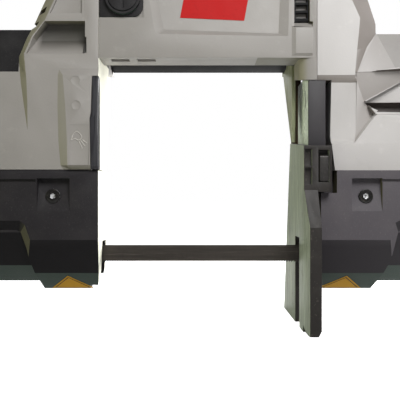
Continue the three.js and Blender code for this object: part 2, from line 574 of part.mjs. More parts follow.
function blade() {
  const rings = [];
  const add = (c, w, t) => rings.push([[1, 1], [-1, 1], [-1, -1], [1, -1]].map(([a, b]) =>
    c.clone().addScaledVector(w, (a * BLADE_WIDTH) / 2).addScaledVector(t, (b * BLADE_THICK) / 2)));
  const smooth = (u) => u * u * (3 - 2 * u);
  const lower = (x, share) => {
    const a = -WHEEL_TILT - (Math.PI / 2 - WHEEL_TILT) * share;
    add(new THREE.Vector3(x, 0, 0),
      new THREE.Vector3(0, Math.cos(a), Math.sin(a)), new THREE.Vector3(0, Math.sin(a), -Math.cos(a)));
  };
  const twistLeft = [IDLER_X + 12, GUIDE_LEFT - 9];
  const twistRight = [GUIDE_RIGHT + 9, DRIVE_X - 10];
  for (let i = 0; i <= 12; i += 1) {
    lower(THREE.MathUtils.lerp(...twistLeft, i / 12), smooth(i / 12));
  }
  for (let i = 0; i <= 12; i += 1) {
    lower(THREE.MathUtils.lerp(...twistRight, i / 12), smooth(1 - i / 12));
  }
  const along = new THREE.Vector3(0, Math.cos(WHEEL_TILT), -Math.sin(WHEEL_TILT));
  const round = (x, from, to) => {
    for (let i = 0; i <= 24; i += 1) {
      const a = THREE.MathUtils.degToRad(from + ((to - from) * i) / 24);
      const out = new THREE.Vector3(Math.cos(a), 0, Math.sin(a)).applyAxisAngle(new THREE.Vector3(1, 0, 0),
        -WHEEL_TILT);
      const centre = upright(0, 0).setX(x).addScaledVector(out, RUN);
      add(centre, along, out);
    }
  };
  round(DRIVE_X, -90, 90);
  round(IDLER_X, 90, 270);
  return geometryOf(solid(loft(rings, true)));
}
node("saw_blade", blade(), BLADE_STEEL);

// ---- wheels

function wheel(bore) {
  const profile = [[bore, -WHEEL_HALF], [15, -WHEEL_HALF], [15, -2], [64, -2], [67, -WHEEL_HALF],
    [RIM_RADIUS, -WHEEL_HALF],
    [RIM_RADIUS, WHEEL_HALF], [67, WHEEL_HALF], [64, 2], [15, 2], [15, WHEEL_HALF], [bore, WHEEL_HALF],
    [bore, -WHEEL_HALF]];
  const holes = [0, 72, 144, 216, 288].map((d) => {
    const a = THREE.MathUtils.degToRad(d + 30);
    return rod(40 * Math.cos(a), 40 * Math.sin(a), -4, 4, 13, 12);
  });
  return cut(turned(profile), ...holes);
}
const tyre = turned([[RIM_RADIUS + GAP, -7.5], [TYRE_RADIUS, -7.5], [TYRE_RADIUS, 7.5],
  [RIM_RADIUS + GAP, 7.5],
  [RIM_RADIUS + GAP, -7.5]]);
node("idler_wheel", wheel(11.3), CAST, wheels).position.x = IDLER_X;
node("idler_tyre", tyre, RUBBER, wheels).position.x = IDLER_X;
node("idler_bearing", turned([[6.3, -6], [11, -6], [11, 6], [6.3, 6], [6.3, -6]], 24), STEEL,
  wheels).position.x = IDLER_X;
node("idler_slide", cut(
  join(box(-14.5, 14.5, WEB_FRONT + 0.4, -11, -9, 9), rod(0, 0, -12, 9, 6),
    box(-14, 14, -26, WEB_FRONT - 0.5, -12, 12),
    box(-12, 12, -20, -16, -8, 8)),
  rod(0, 0, -30, -14, 2.5, 12)), STEEL, wheels).position.x = IDLER_X;
node("drive_wheel", wheel(7.3), CAST, wheels).position.x = DRIVE_X;
node("drive_tyre", tyre, RUBBER, wheels).position.x = DRIVE_X;
node("drive_bearing", turned([[7.3, WEB_FRONT], [10.7, WEB_FRONT], [10.7, -12.5], [7.3, -12.5],
  [7.3, WEB_FRONT]], 24),
  STEEL, wheels).position.x = DRIVE_X;
node("drive_shaft", join(rod(0, 0, -33, 9.5, 7), rod(0, 0, 8.5, 12, 10)), STEEL, wheels).position.x = DRIVE_X;

// ---- gears

const pitchRadius = (teeth) => (MODULE * teeth) / 2;

// The outline of a gear, a tooth centred on the first direction. Angles are in degrees.
function gearOutlineOf(teeth, first) {
  const pitch = pitchRadius(teeth);
  const step = 360 / teeth;
  return Array.from({ length: teeth }, (_, i) => [[-0.34, -1.7], [-0.1, 1.2], [0.1, 1.2],
    [0.34, -1.7]].map(([part, up]) => {
    const a = THREE.MathUtils.degToRad(first + step * (i + part));
    return [(pitch + up) * Math.cos(a), (pitch + up) * Math.sin(a)];
  })).flat();
}

const MESH_GAP = 0.15; // added between the pitch circles of meshing gears
const wormAxis = upright(WORM_WHEEL_Y, WORM_WHEEL_RADIUS + WORM_RADIUS + GAP);
const motorAxis = new THREE.Vector3(0, MOTOR_Y, MOTOR_Z);
const upperMesh = pitchRadius(PINION_TEETH) + pitchRadius(COUNTER_TEETH) + MESH_GAP;
const lowerMesh = pitchRadius(WORM_SHAFT_TEETH) + pitchRadius(COUNTER_TEETH) + MESH_GAP;

// The counter gear sits in front of the line between the two shafts, at its meshing distance from each.
const between = wormAxis.clone().sub(motorAxis);
const share = (upperMesh ** 2 - lowerMesh ** 2 + between.lengthSq()) / (2 * between.lengthSq());
const aside = Math.sqrt(upperMesh ** 2 - share ** 2 * between.lengthSq());
const counterAxis = motorAxis.clone().addScaledVector(between, share)
  .add(new THREE.Vector3(0, between.z, -between.y).setLength(aside));

// The direction of a gear's first tooth, so that it meshes with its neighbour. Angles are in degrees.
function meshing(teeth, from, to, otherTeeth, otherFirst) {
  const angle = THREE.MathUtils.radToDeg(Math.atan2(to.z - from.z, to.y - from.y));
  return angle + 180 + (360 / teeth) * (((angle - otherFirst) * otherTeeth) / 360 + 0.5);
}
const counterFirst = meshing(COUNTER_TEETH, motorAxis, counterAxis, PINION_TEETH, 0);
const wormFirst = meshing(WORM_SHAFT_TEETH, counterAxis, wormAxis, COUNTER_TEETH, counterFirst);

const spur = (teeth, first) => sideSlab(gearOutlineOf(teeth, first), 0, SPUR_WIDTH);
function put(mesh, x, axis) {
  mesh.position.set(x, axis.y, axis.z);
  return mesh;
}
put(node("armature_shaft", join(spur(PINION_TEETH, 0), bar(-162, SPUR_WIDTH + 1, 0, 0, 4, 16)), STEEL),
  SPUR_X, motorAxis);
put(node("counter_gear", cut(spur(COUNTER_TEETH, counterFirst), bar(-1, 12, 0, 0, 4.3, 16)), STEEL), SPUR_X,
  counterAxis);
put(node("counter_pin", join(bar(-4, 20, 0, 0, 4, 16), bar(SPUR_WIDTH + 0.5, 19, 0, 0, 7, 16)), STEEL),
  SPUR_X, counterAxis);
const wormProfile = [];
for (let i = 0; i < 6; i += 1) {
  wormProfile.push([WORM_RADIUS - 2.5, 5 * i], [WORM_RADIUS, 5 * i + 1.5], [WORM_RADIUS, 5 * i + 2.5]);
}
const worm = turned([[0, -1], [WORM_RADIUS - 2.5, -1], ...wormProfile, [WORM_RADIUS - 2.5, 31], [0, 31]], 16)
  .rotateZ(-Math.PI / 2)
  .translate(DRIVE_X - SPUR_X - 15, 0, 0);
put(node("worm_shaft", join(spur(WORM_SHAFT_TEETH, wormFirst), bar(-0.5, 112, 0, 0, 4, 16), worm),
  STEEL), SPUR_X, wormAxis);
const wormWheelOutline = Array.from({ length: 80 }, (_, i) => {
  const a = (i * Math.PI) / 40;
  const r = WORM_WHEEL_RADIUS - (i % 2) * 2;
  return [r * Math.cos(a), r * Math.sin(a)];
});
node("worm_wheel", cut(slab(wormWheelOutline, WORM_WHEEL_Y - 4, WORM_WHEEL_Y + 4), rod(0, 0, -40, 0, 7.3)),
  BRASS, wheels).position.x = DRIVE_X;

// ---- motor

const core = Array.from({ length: 12 }, (_, i) => {
  const at = (r, d) => [r * Math.cos(THREE.MathUtils.degToRad(30 * i + d)),
    r * Math.sin(THREE.MathUtils.degToRad(30 * i + d))];
  return [at(16, -12), at(16, 0), at(16, 12), at(12, 13)];
}).flat();
const shaftBore = bar(-200, 200, 0, 0, 4.3, 16);
put(node("armature_core", cut(sideSlab(core, -28, 22), shaftBore), COPPER), 0, motorAxis);
put(node("commutator", cut(bar(-60, -47, 0, 0, 10, 24), shaftBore), COPPER), 0, motorAxis);
const blades = Array.from({ length: 8 }, (_, i) => box(50, 60, 8, 24.5, -1, 1).rotateX((i * Math.PI) / 4));
put(node("cooling_fan", cut(join(bar(58, 61, 0, 0, 25.5), bar(50, 60, 0, 0, 9, 16), ...blades), shaftBore),
  BLACK), 0, motorAxis);
put(node("stator", cut(bar(-30, 25, 0, 0, 26), bar(-31, 26, 0, 0, 16.6)), DARK_STEEL), 0, motorAxis);
const motorBearing = (x0, x1) => cut(bar(x0, x1, 0, 0, 9, 20), shaftBore);
put(node("commutator_bearing", motorBearing(-70, -62), STEEL), 0, motorAxis);
put(node("fan_bearing", motorBearing(77, 85), STEEL), 0, motorAxis);
function brushCap(sign, face, tip) {
  const disc = (y0, y1, radius) => rod(CAP_X, MOTOR_Z, face + Math.min(sign * y0, sign * y1),
    face + Math.max(sign * y0, sign * y1), radius);
  const holder = box(CAP_X - 3, CAP_X + 3, Math.min(face, tip), Math.max(face, tip), MOTOR_Z - 4,
    MOTOR_Z + 4);
  const slot = box(CAP_X - 1.1, CAP_X + 1.1, face + (sign > 0 ? 1.6 : -9), face + (sign > 0 ? 9 : -1.6),
    MOTOR_Z - 8.5, MOTOR_Z + 8.5);
  const ring = cut(disc(2.2, 9, 11), disc(2, 9, 10.2));
  return cut(join(disc(0, 3.2, 12.4), disc(0.5, -8, 10), holder), slot, ring);
}
const capPlate = slab([[-70, 166.7], [-47, 166.7], ...arc(-47, 174, 7.3, -90, 0, 5).slice(1), [-39.7, 194.1],
  [-70, 194.1]], FRONT - 0.4, FRONT + 1);
node("front_brush", join(brushCap(-1, FRONT - 0.3, MOTOR_Y - 10.4), capPlate), BLACK);
node("rear_brush", brushCap(1, REAR + 0.3, MOTOR_Y + 10.4), BLACK);

// ---- blade guides

function guideBracket(x) {
  const block = box(x - 8, x + 8, -14, 14, 7.6, 22.7);
  const slot = box(x - 7, x + 7, -3.4, 3.4, 6, 19.6);
  const pins = [-1, 1].map((s) => rod(0, 0, -6.5, 10, 2, 12).rotateX(Math.PI / 2).translate(x, s * 6.7, 0));
  return join(cut(block, slot), ...pins, rod(x, BLADE_WIDTH / 2 + 6.3, -5, 5, 1.8, 12));
}
const roller = (bore) => turned([[bore, -5.8], [ROLLER_RADIUS, -5.8], [ROLLER_RADIUS, 5.8], [bore, 5.8],
  [bore, -5.8]], 20);
const thrust = turned([[2.1, -2.9], [ROLLER_RADIUS, -2.9], [ROLLER_RADIUS, 2.9], [2.1, 2.9], [2.1, -2.9]],
  20);
[["left", GUIDE_LEFT], ["right", GUIDE_RIGHT]].forEach(([name, x]) => {
  node(`${name}_guide_bracket`, guideBracket(x), ZINC);
  const face = ROLLER_RADIUS + 0.7;
  node(`${name}_front_roller`, roller(2.3).rotateX(Math.PI / 2), STEEL).position.set(x, -face, 0);
  node(`${name}_rear_roller`, roller(2.3).rotateX(Math.PI / 2), STEEL).position.set(x, face, 0);
  node(`${name}_thrust_roller`, thrust, STEEL).position.set(x, 0, BLADE_WIDTH / 2 + 6.3);
});

// ---- shoe and the column it slides on

node("shoe_column", join(
  underCorner(-22.5, 48.5, 78.5, 81.4, GAP, GUARD_TOP + 1),
  box(81, 84, -22.5, 48.5, GUARD_TOP + 1, CORNER_LOW - GAP),
  box(75.7, 87.5, -24.4, -21.7, GUARD_TOP + 1, CORNER_LOW - GAP),
  box(73.5, 81.4, 47, 48.5, SHOE_TOP + 6.4, 141),
  box(81, 84, 47, 48.5, SHOE_TOP + 6.4, 134)), BLACK);
const railSlot = sideSlab([...arc(-10, 116, 2.6, 0, 180, 6), ...arc(-10, 108, 2.6, 180, 360, 6)], 70, 80);
node("shoe_rail", cut(underCorner(-21.4, 25, 75.7, 78.2, GAP, GUARD_TOP + 1), railSlot), ZINC);

function shoe() {
  const plan = [[72.7, -48], [80.6, -48], [80.6, -25.4], [SHOE_WING, -25.4], [SHOE_WING, 80], [SHOE_LEFT, 80],
    [SHOE_LEFT, -30]];
  const profile = [[-48, SHOE_LOW], [73, SHOE_LOW], [35, SHOE_TOP + 7], [-33, SHOE_TOP], [-33, 46],
    [-48, 21]];
  const plate = common(alongZ(plan, SHOE_LOW, SHOE_TOP + 8), sideSlab(profile, 70, 82));
  const bracket = alongZ([[SHOE_LEFT, -33], [90.2, -33], [90.2, -16], [87.9, -16], [87.9, -24.9],
    [SHOE_WING, -24.9],
    [SHOE_WING, 30], [SHOE_LEFT, 30]], 44.8, SHOE_TOP);
  const toe = slab([[70, -43], [72.4, SHOE_LOW], [72.4, -60], [60, -60], [60, -43]], -60, -30);
  const heel = slab([[81.5, -46], [78.6, SHOE_LOW], [78.6, -60], [90, -60], [90, -46]], -60, -20);
  return cut(join(plate, bracket), toe, heel,
    box(60, 76, -12, 8, -60, 12.5),
    box(71.8, 76.6, -34, -29.6, 62.6, SHOE_TOP - 2.4),
    box(71.8, 76.6, -34, -29.6, 50, 61.4),
    box(81, 88.3, -34, -27.5, 51.6, SHOE_TOP - 3));
}
node("work_shoe", shoe(), ZINC);
node("shoe_latch", sideSlab([[-30.2, 52], [-33.4, 52], [-34, 53], [-34, 69], [-33, 70.2], [-30.2, 70.2]],
  81.6, 88),
  DARK_STEEL);

// ---- tension lever

node("tension_lever", join(
  rod(0, 0, -11, -0.5, 13, 24), rod(0, 0, -1, 12, 6), box(-8, 8, -9.5, -3.5, -58, 0),
  rod(0, -58, -9.5, -3.5, 8, 16)), BLACK).position.set(-205, FRONT, 96);

// ---- main handle, with its trigger

const HANDLE_Y = 16; // middle plane of the main handle
const handleOutline = [[88, SPINE_TOP + 0.4], [88, 246], [98, 262], [116, 268], [226, 262], [246, 248],
  [256, 222], [259, 150],
  [252, 100], ...arc(DRIVE_END - 68, SHOULDER_RIGHT - 68, 68.4, 20, 58, 4).slice(1), [222, 160], [219, 205],
    [206, 226],
  [190, 232], [142, 236], [127, 230], [118, 214], [117.8, 186], [105, SPINE_TOP + 0.4]];
const clearOfGuards = leaning(box(-FAR, FAR, COVER_FRONT - GAP, GUARD_BACK + GAP, -FAR, GUARD_RADIUS + GAP));
function handleHalf(y0, y1, open) {
  const bores = [
    clearOfGuards,
    box(146, 188, open[0], open[1], 226, 252),
    box(152, 182, open[0], open[1], 244, 262),
    rod(208, 250, HANDLE_Y - 18, HANDLE_Y + 9.5, 5.3, 16),
    box(226, 250, open[0], open[1], 170, 215),
  ];
  return cut(slab(handleOutline, y0, y1), ...bores);
}
node("front_handle_half", handleHalf(HANDLE_Y - 17, HANDLE_Y - GAP / 2, [HANDLE_Y - 9.5, HANDLE_Y + 1]),
  BLACK);
node("rear_handle_half", handleHalf(HANDLE_Y + GAP / 2, HANDLE_Y + 17, [HANDLE_Y - 1, HANDLE_Y + 9.5]),
  BLACK);
node("trigger", slab([[149, 241], [149, 230], [153, 222], [162, 219], [172, 221], [184, 229], [184, 241]],
  HANDLE_Y - 9, HANDLE_Y + 9), RED);
node("switch_body", box(153, 181, HANDLE_Y - 9, HANDLE_Y + 9, 246.5, 257), DARK_STEEL);
node("lock_button", join(rod(208, 250, HANDLE_Y - 20, HANDLE_Y - 9, 5),
  rod(208, 250, HANDLE_Y - 9.2, HANDLE_Y + 5, 3, 12)), BLACK);
node("speed_dial", rod(0, 0, -2.5, 2.5, 11, 20), BLACK).position.set(238, HANDLE_Y - 20.1, 196);
node("cord_gland", cut(
  join(bar(0, 6, 0, 0, 12, 20), bar(5, 34, 0, 0, 8, 20)),
  bar(8, 35, 0, 0, 4.2, 16)), RUBBER).position.set(259.6, HANDLE_Y, 128);

// ---- front handle

node("front_handle", cut(join(
  slab([[-84, SPINE_TOP + 0.4], [-84, 236], [-96, 250], [-112, 250], [-112, 232], [-104, 222], [-97.5, 207.5],
    [-89, SPINE_TOP + 0.4]], 4, 28),
  slab([[-214, 232], [-214, 250], [-228, 250], [-240, 238], [-243, 110],
    ...arc(IDLER_END + 68, SHOULDER_LEFT - 68, 68.4, 142, 118, 3),
    [-214, 160]], 4, 28),
  bar(-216, -108, 16, 241, 8, 16)), clearOfGuards), BLACK);
node("front_grip", cut(bar(-213.6, -112.4, 16, 241, 15, 24), bar(-214, -112, 16, 241, 8.3, 16)), RUBBER);

// ---- the origin: the middle of the bounding box, at the lowest point

saw.updateMatrixWorld(true);
const bounds = new THREE.Box3().setFromObject(saw);
saw.position.set(-(bounds.min.x + bounds.max.x) / 2, -(bounds.min.y + bounds.max.y) / 2, -bounds.min.z);

export default saw;
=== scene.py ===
"""Looks of the portable band saw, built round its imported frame.

Places are given in millimetres from the cutting point: the middle of the throat, on the blade's centre line.
x runs from the idler wheel to the drive wheel, y away from the operator's side and z up.
"""

import math

import bpy
import numpy as np
from bpy.props import FloatProperty, FloatVectorProperty, IntProperty, PointerProperty
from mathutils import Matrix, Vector


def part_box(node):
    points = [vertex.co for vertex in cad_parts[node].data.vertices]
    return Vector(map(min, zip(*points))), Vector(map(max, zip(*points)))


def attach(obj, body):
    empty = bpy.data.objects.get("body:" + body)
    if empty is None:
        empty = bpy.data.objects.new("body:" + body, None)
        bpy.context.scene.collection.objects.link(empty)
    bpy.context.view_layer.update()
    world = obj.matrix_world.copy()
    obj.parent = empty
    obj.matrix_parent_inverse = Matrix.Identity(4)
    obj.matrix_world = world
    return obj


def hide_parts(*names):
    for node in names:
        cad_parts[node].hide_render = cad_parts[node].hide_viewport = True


bl_info = {
    "name": "Band saw looks",
    "version": (1, 0, 0),
    "blender": (4, 5, 0),
    "location": "3D View > Sidebar > Band saw",
    "description": "Surfaces, finishes and studio of a portable deep-cut band saw",
    "category": "Object",
}

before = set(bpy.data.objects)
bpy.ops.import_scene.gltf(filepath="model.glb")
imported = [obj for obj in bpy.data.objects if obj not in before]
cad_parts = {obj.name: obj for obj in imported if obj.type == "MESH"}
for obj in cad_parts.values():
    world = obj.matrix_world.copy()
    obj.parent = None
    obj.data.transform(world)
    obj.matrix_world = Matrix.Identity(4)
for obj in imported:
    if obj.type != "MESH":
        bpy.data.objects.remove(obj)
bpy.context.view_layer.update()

MM = 0.001
SHOE_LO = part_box("work_shoe")[0]
# The cutting point, in the row frame
CUT = np.array([SHOE_LO.x - 0.071, SHOE_LO.y + 0.048, SHOE_LO.z + 0.0515])

BLADE_WIDTH, BLADE_THICK = 12.7, 0.65
TILT = math.radians(18)
IDLER_X, DRIVE_X = -160.0, 166.0
RUN = 77.6
WHEEL_Y, WHEEL_Z = RUN * math.sin(TILT), RUN * math.cos(TILT)
FRONT = -25.0


# ------------------------------------------------------------------ settings


class SawPaint(bpy.types.PropertyGroup):
    """Colours of the finishes."""

    housing: FloatVectorProperty(name="Housing", description="Grey paint of the idler and motor housings",
                                 subtype="COLOR", size=3, min=0, max=1, default=(0.300, 0.283, 0.262))
    gear_housing: FloatVectorProperty(name="Gear housing", description="Paler grey paint of the gear housing",
                                      subtype="COLOR", size=3, min=0, max=1, default=(0.52, 0.50, 0.485))
    guard: FloatVectorProperty(name="Guards", description="Black plastic of the blade guards",
                               subtype="COLOR", size=3, min=0, max=1, default=(0.022, 0.020, 0.022))
    # the shoe's pale worn colour carries a green cast: painted greenish reflected light
    shoe: FloatVectorProperty(name="Shoe", description="Worn plating of the work shoe",
                              subtype="COLOR", size=3, min=0, max=1, default=(0.30, 0.34, 0.24))
    blade: FloatVectorProperty(name="Blade", description="Dark steel of the blade",
                               subtype="COLOR", size=3, min=0, max=1, default=(0.055, 0.047, 0.040))
    accent: FloatVectorProperty(name="Accent", description="Red of the trigger and the panel's band",
                                subtype="COLOR", size=3, min=0, max=1, default=(0.46, 0.008, 0.008))
    amber: FloatVectorProperty(name="Amber", description="Amber of the warning triangles",
                               subtype="COLOR", size=3, min=0, max=1, default=(0.42, 0.22, 0.010))


class SawSizes(bpy.types.PropertyGroup):
    """Sizes that a user would change."""

    tooth_pitch: FloatProperty(name="Tooth pitch", description="Distance from tooth to tooth",
                               default=0.0018, min=0.001, max=0.006, unit="LENGTH")
    tooth_depth: FloatProperty(name="Tooth depth", description="From a tooth's tip to the gullet",
                               default=0.0012, min=0.0003, max=0.003, unit="LENGTH")
    edge_round: FloatProperty(name="Edge rounding",
                              description="Radius of the edges of cast and moulded parts",
                              default=0.0008, min=0.0, max=0.003, unit="LENGTH")
    bevel_steps: IntProperty(name="Edge steps", description="Faces across a rounded edge",
                             default=3, min=1, max=6)


# ------------------------------------------------------------------ meshes


def row(points):
    """Points in millimetres from the cutting point, as metres in the row frame: CUT + p / 1000."""
    return np.asarray(points, float) * MM + CUT


def piece(name, points, faces, material, body="frame", replaces=(), smooth=True, sharp=None):
    """A mesh object from points in millimetres and faces, with its normals, material and body."""
    mesh = bpy.data.meshes.new(name)
    mesh.from_pydata(row(points).tolist(), [], [list(map(int, f)) for f in faces])
    mesh.validate()
    mesh.update()
    if smooth:
        mesh.shade_smooth()
        if sharp is not None:
            mesh.set_sharp_from_angle(angle=math.radians(sharp))
    else:
        mesh.shade_flat()
    obj = bpy.data.objects.new(name, mesh)
    bpy.context.scene.collection.objects.link(obj)
    mesh.materials.append(material)
    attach(obj, body)
    if replaces:
        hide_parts(*replaces)
    return obj


def ring_faces(rings, count, closed_rings):
    """Quads between rings of count points each. The last ring joins the first if closed_rings."""
    i = np.arange(rings if closed_rings else rings - 1)
    j = np.arange(count)
    a, b = np.meshgrid(i, j, indexing="ij")
    c, d = (a + 1) % rings, (b + 1) % count
    return np.stack([a * count + b, a * count + d, c * count + d, c * count + b], -1).reshape(-1, 4)


def turned_outwards(points, faces):
    """The faces, each reversed if the closed shape that they make has a negative volume."""
    p = np.asarray(points, float)
    f = np.asarray([list(q)[:3] for q in faces])
    g = np.asarray([[q[0], q[2], q[3]] for q in faces if len(q) == 4])
    volume = np.einsum("ij,ij->", p[f[:, 0]], np.cross(p[f[:, 1]], p[f[:, 2]]))
    if len(g):
        volume += np.einsum("ij,ij->", p[g[:, 0]], np.cross(p[g[:, 1]], p[g[:, 2]]))
    return [list(q)[::-1] for q in faces] if volume < 0 else [list(q) for q in faces]


def sweep(centres, widths, depths, corners, power=2.6, y=0.0):
    """A bar along a line of [x, z] centres in the plane y. Its section is the rounded box
    |u / width|^power + |v / depth|^power = 1, with u across the line and v along y. Ends are closed."""
    c = np.asarray(centres, float)
    tangent = np.gradient(c, axis=0)
    tangent /= np.linalg.norm(tangent, axis=1)[:, None]
    across = np.stack([-tangent[:, 1], tangent[:, 0]], -1)
    a = np.linspace(0, 2 * math.pi, corners, endpoint=False)
    cu = np.sign(np.cos(a)) * np.abs(np.cos(a)) ** (2 / power)
    sv = np.sign(np.sin(a)) * np.abs(np.sin(a)) ** (2 / power)
    u = widths[:, None] * cu[None]
    v = depths[:, None] * sv[None]
    p = np.empty((len(c), corners, 3))
    p[..., 0] = c[:, None, 0] + across[:, None, 0] * u
    p[..., 1] = y + v
    p[..., 2] = c[:, None, 1] + across[:, None, 1] * u
    faces = ring_faces(len(c), corners, False).tolist()
    faces.append(list(range(corners))[::-1])
    faces.append(list(range((len(c) - 1) * corners, len(c) * corners)))
    return p.reshape(-1, 3), turned_outwards(p.reshape(-1, 3), [f for f in faces])


def smooth_line(points, steps):
    """A Catmull-Rom line through points, other columns carried along, at steps even places by length."""
    p = np.asarray(points, float)
    q = np.vstack([2 * p[0] - p[1], p, 2 * p[-1] - p[-2]])
    t = np.linspace(0, 1, 20, endpoint=False)[:, None]
    parts = []
    for k in range(len(p) - 1):
        a, b, c, d = q[k], q[k + 1], q[k + 2], q[k + 3]
        parts.append(0.5 * (2 * b + (c - a) * t + (2 * a - 5 * b + 4 * c - d) * t**2
                            + (3 * b - a - 3 * c + d) * t**3))
    fine = np.vstack([*parts, p[-1:]])
    run = np.concatenate([[0], np.cumsum(np.linalg.norm(np.diff(fine[:, :2], axis=0), axis=1))])
    at = np.linspace(0, run[-1], steps)
    return np.stack([np.interp(at, run, fine[:, k]) for k in range(fine.shape[1])], -1)


def plate(outline, plane, thick):
    """A flat piece: an outline of [u, v] points on a plane (origin, u axis, v axis), raised by thick."""
    origin, u, v = (np.asarray(a, float) for a in plane)
    n = np.cross(u, v)
    n /= np.linalg.norm(n)
    o = np.asarray(outline, float)
    low = origin + o[:, :1] * u + o[:, 1:] * v
    p = np.vstack([low, low + n * thick])
    k = len(o)
    faces = [list(range(k))[::-1], list(range(k, 2 * k))]
    faces += [[i, (i + 1) % k, k + (i + 1) % k, k + i] for i in range(k)]
    return p, turned_outwards(p, faces) if all(len(f) == 4 for f in faces) else faces


# ------------------------------------------------------------------ finishes


# The sockets of a colour mix: what is there, and what goes over it
MIX_UNDER, MIX_OVER = 6, 7


class Finish:
    """A node material, made step by step. All patterns read Object coordinates."""

    def __init__(self, name, colour, roughness=0.5, metallic=0.0, specular=0.5):
        self.material = bpy.data.materials.new(name)
        self.material.use_nodes = True
        self.tree = self.material.node_tree
        self.shader = self.tree.nodes["Principled BSDF"]
        self.shader.inputs["Base Color"].default_value = (*colour, 1)
        self.shader.inputs["Roughness"].default_value = roughness
        self.shader.inputs["Metallic"].default_value = metallic
        self.shader.inputs["Specular IOR Level"].default_value = specular
        self.colour = colour
        self.coords_node = self.tree.nodes.new("ShaderNodeTexCoord")
        self.coords = self.coords_node.outputs["Object"]
        self.last_colour = None
        self.last_normal = None

    def node(self, kind, **values):
        made = self.tree.nodes.new(kind)
        for key, value in values.items():
            if key in made.inputs:
                made.inputs[key].default_value = value
            else:
                setattr(made, key, value)
        return made

    def link(self, a, b):
        self.tree.links.new(a, b)

    def stretched(self, scale):
        mapping = self.node("ShaderNodeMapping")
        mapping.inputs["Scale"].default_value = scale
        self.link(self.coords, mapping.inputs["Vector"])
        return mapping.outputs["Vector"]

    def noise(self, scale, detail=4.0, rough=0.5, stretch=(1, 1, 1), distortion=0.0):
        made = self.node("ShaderNodeTexNoise", Scale=scale, Detail=detail, Roughness=rough,
                         Distortion=distortion)
        self.link(self.stretched(stretch), made.inputs["Vector"])
        return made.outputs["Fac"]

    def cells(self, scale, feature="F1", stretch=(1, 1, 1)):
        made = self.node("ShaderNodeTexVoronoi", Scale=scale, feature=feature)
        self.link(self.stretched(stretch), made.inputs["Vector"])
        return made.outputs["Distance"]

    def ramp(self, value, low, high, a=0.0, b=1.0):
        made = self.node("ShaderNodeMapRange", clamp=True)
        made.inputs["From Min"].default_value = low
        made.inputs["From Max"].default_value = high
        made.inputs["To Min"].default_value = a
        made.inputs["To Max"].default_value = b
        self.link(value, made.inputs["Value"])
        return made.outputs["Result"]

    def tint(self, factor, colour):
        """Mixes another colour over what is there, by factor."""
        mix = self.node("ShaderNodeMix", data_type="RGBA")
        mix.inputs[MIX_UNDER].default_value = (*self.colour, 1)
        mix.inputs[MIX_OVER].default_value = (*colour, 1)
        if self.last_colour is not None:
            self.link(self.last_colour, mix.inputs[MIX_UNDER])
        self.link(factor, mix.inputs[0])
        self.last_colour = mix.outputs[2]
        self.link(self.last_colour, self.shader.inputs["Base Color"])
        return self

    def shine(self, factor, low, high):
        """Roughness from low to high, by factor."""
        self.link(self.ramp(factor, 0, 1, low, high), self.shader.inputs["Roughness"])
        return self

    def bump(self, height, strength, distance):
        made = self.node("ShaderNodeBump", Strength=strength, Distance=distance)
        self.link(height, made.inputs["Height"])
        if self.last_normal is not None:
            self.link(self.last_normal, made.inputs["Normal"])
        self.last_normal = made.outputs["Normal"]
        self.link(self.last_normal, self.shader.inputs["Normal"])
        return self

    def facing(self, way, low, high):
        """How far the surface faces one way, by a dot product with its normal: 0 below low, 1 above high."""
        dot = self.node("ShaderNodeVectorMath", operation="DOT_PRODUCT")
        self.link(self.coords_node.outputs["Normal"], dot.inputs[0])
        dot.inputs[1].default_value = way
        return self.ramp(dot.outputs["Value"], low, high)

    def place(self, axis, low, high):
        """0 where a coordinate of the row frame is below low, 1 where it is above high, in metres."""
        split = self.node("ShaderNodeSeparateXYZ")
        self.link(self.coords, split.inputs[0])
        return self.ramp(split.outputs[axis], low, high)

    def sides(self, rules):
        """Painted light and shade for sides that face one way: tones that stand in for the light, shade and
        coloured reflections that fall on them. Each rule is (way, low, high, tone, x), with x the least, from
        the cut.
        """
        for way, low, high, tone, x in rules:
            reach = self.place("X", CUT[0] + x * MM, CUT[0] + (x + 0.1) * MM)
            self.tint(self.times(self.facing(way, low, high), reach), tone)

    def times(self, a, b):
        made = self.node("ShaderNodeMath", operation="MULTIPLY")
        self.link(a, made.inputs[0])
        self.link(b, made.inputs[1])
        return made.outputs[0]

    def done(self):
        return self.material


def shade(colour, k):
    return tuple(min(1.0, c * k) for c in colour)


def painted(name, colour, side_light_tones, roughness=0.42, shaded_hollows=()):
    """Baked paint on a casting: fine orange peel, faint cloudiness and a few rubbed, dusty places. Tones are
    painted light and shade: the colours it takes where it turns left, right or down. Hollows get painted
    shade that deepens inwards: each has its left end, lowest and highest point, the depths where the shade
    starts and is full, and its tone."""
    f = Finish(name, colour, roughness, 0.0, 0.45)
    cloud = f.noise(28, 3)
    f.tint(f.ramp(cloud, 0.35, 0.7, 0, 0.55), shade(colour, 0.86))
    f.tint(f.ramp(f.noise(140, 6, 0.6), 0.6, 0.75, 0, 0.35), shade(colour, 1.22))
    f.tint(f.ramp(f.noise(34, 5, 0.7, (1, 1, 1), 0.4), 0.60, 0.74, 0, 0.30), shade(colour, 0.74))
    f.tint(f.ramp(f.noise(1500, 2), 0.70, 0.78, 0, 0.35), shade(colour, 0.55))
    # painted light and shade: tones on the sides that turn left, right or down
    f.sides(side_light_tones)
    # painted shade in each hollow, darker with depth
    for x, z0, z1, y0, y1, tone in shaded_hollows:
        deep = f.place("Y", CUT[1] + y0 * MM, CUT[1] + y1 * MM)
        beside = f.place("X", CUT[0] + x * MM, CUT[0] + (x + 4) * MM)
        above = f.place("Z", CUT[2] + z0 * MM, CUT[2] + (z0 + 0.2) * MM)
        below = f.ramp(f.place("Z", CUT[2] + z1 * MM, CUT[2] + (z1 + 0.1) * MM), 0, 1, 1, 0)
        f.tint(f.times(f.times(deep, beside), f.times(above, below)), tone)
    f.shine(f.noise(60, 4), roughness - 0.10, roughness + 0.14)
    f.bump(f.noise(900, 3), 0.16, 0.0004)
    f.bump(f.noise(2600, 2), 0.10, 0.0002)
    return f.done()


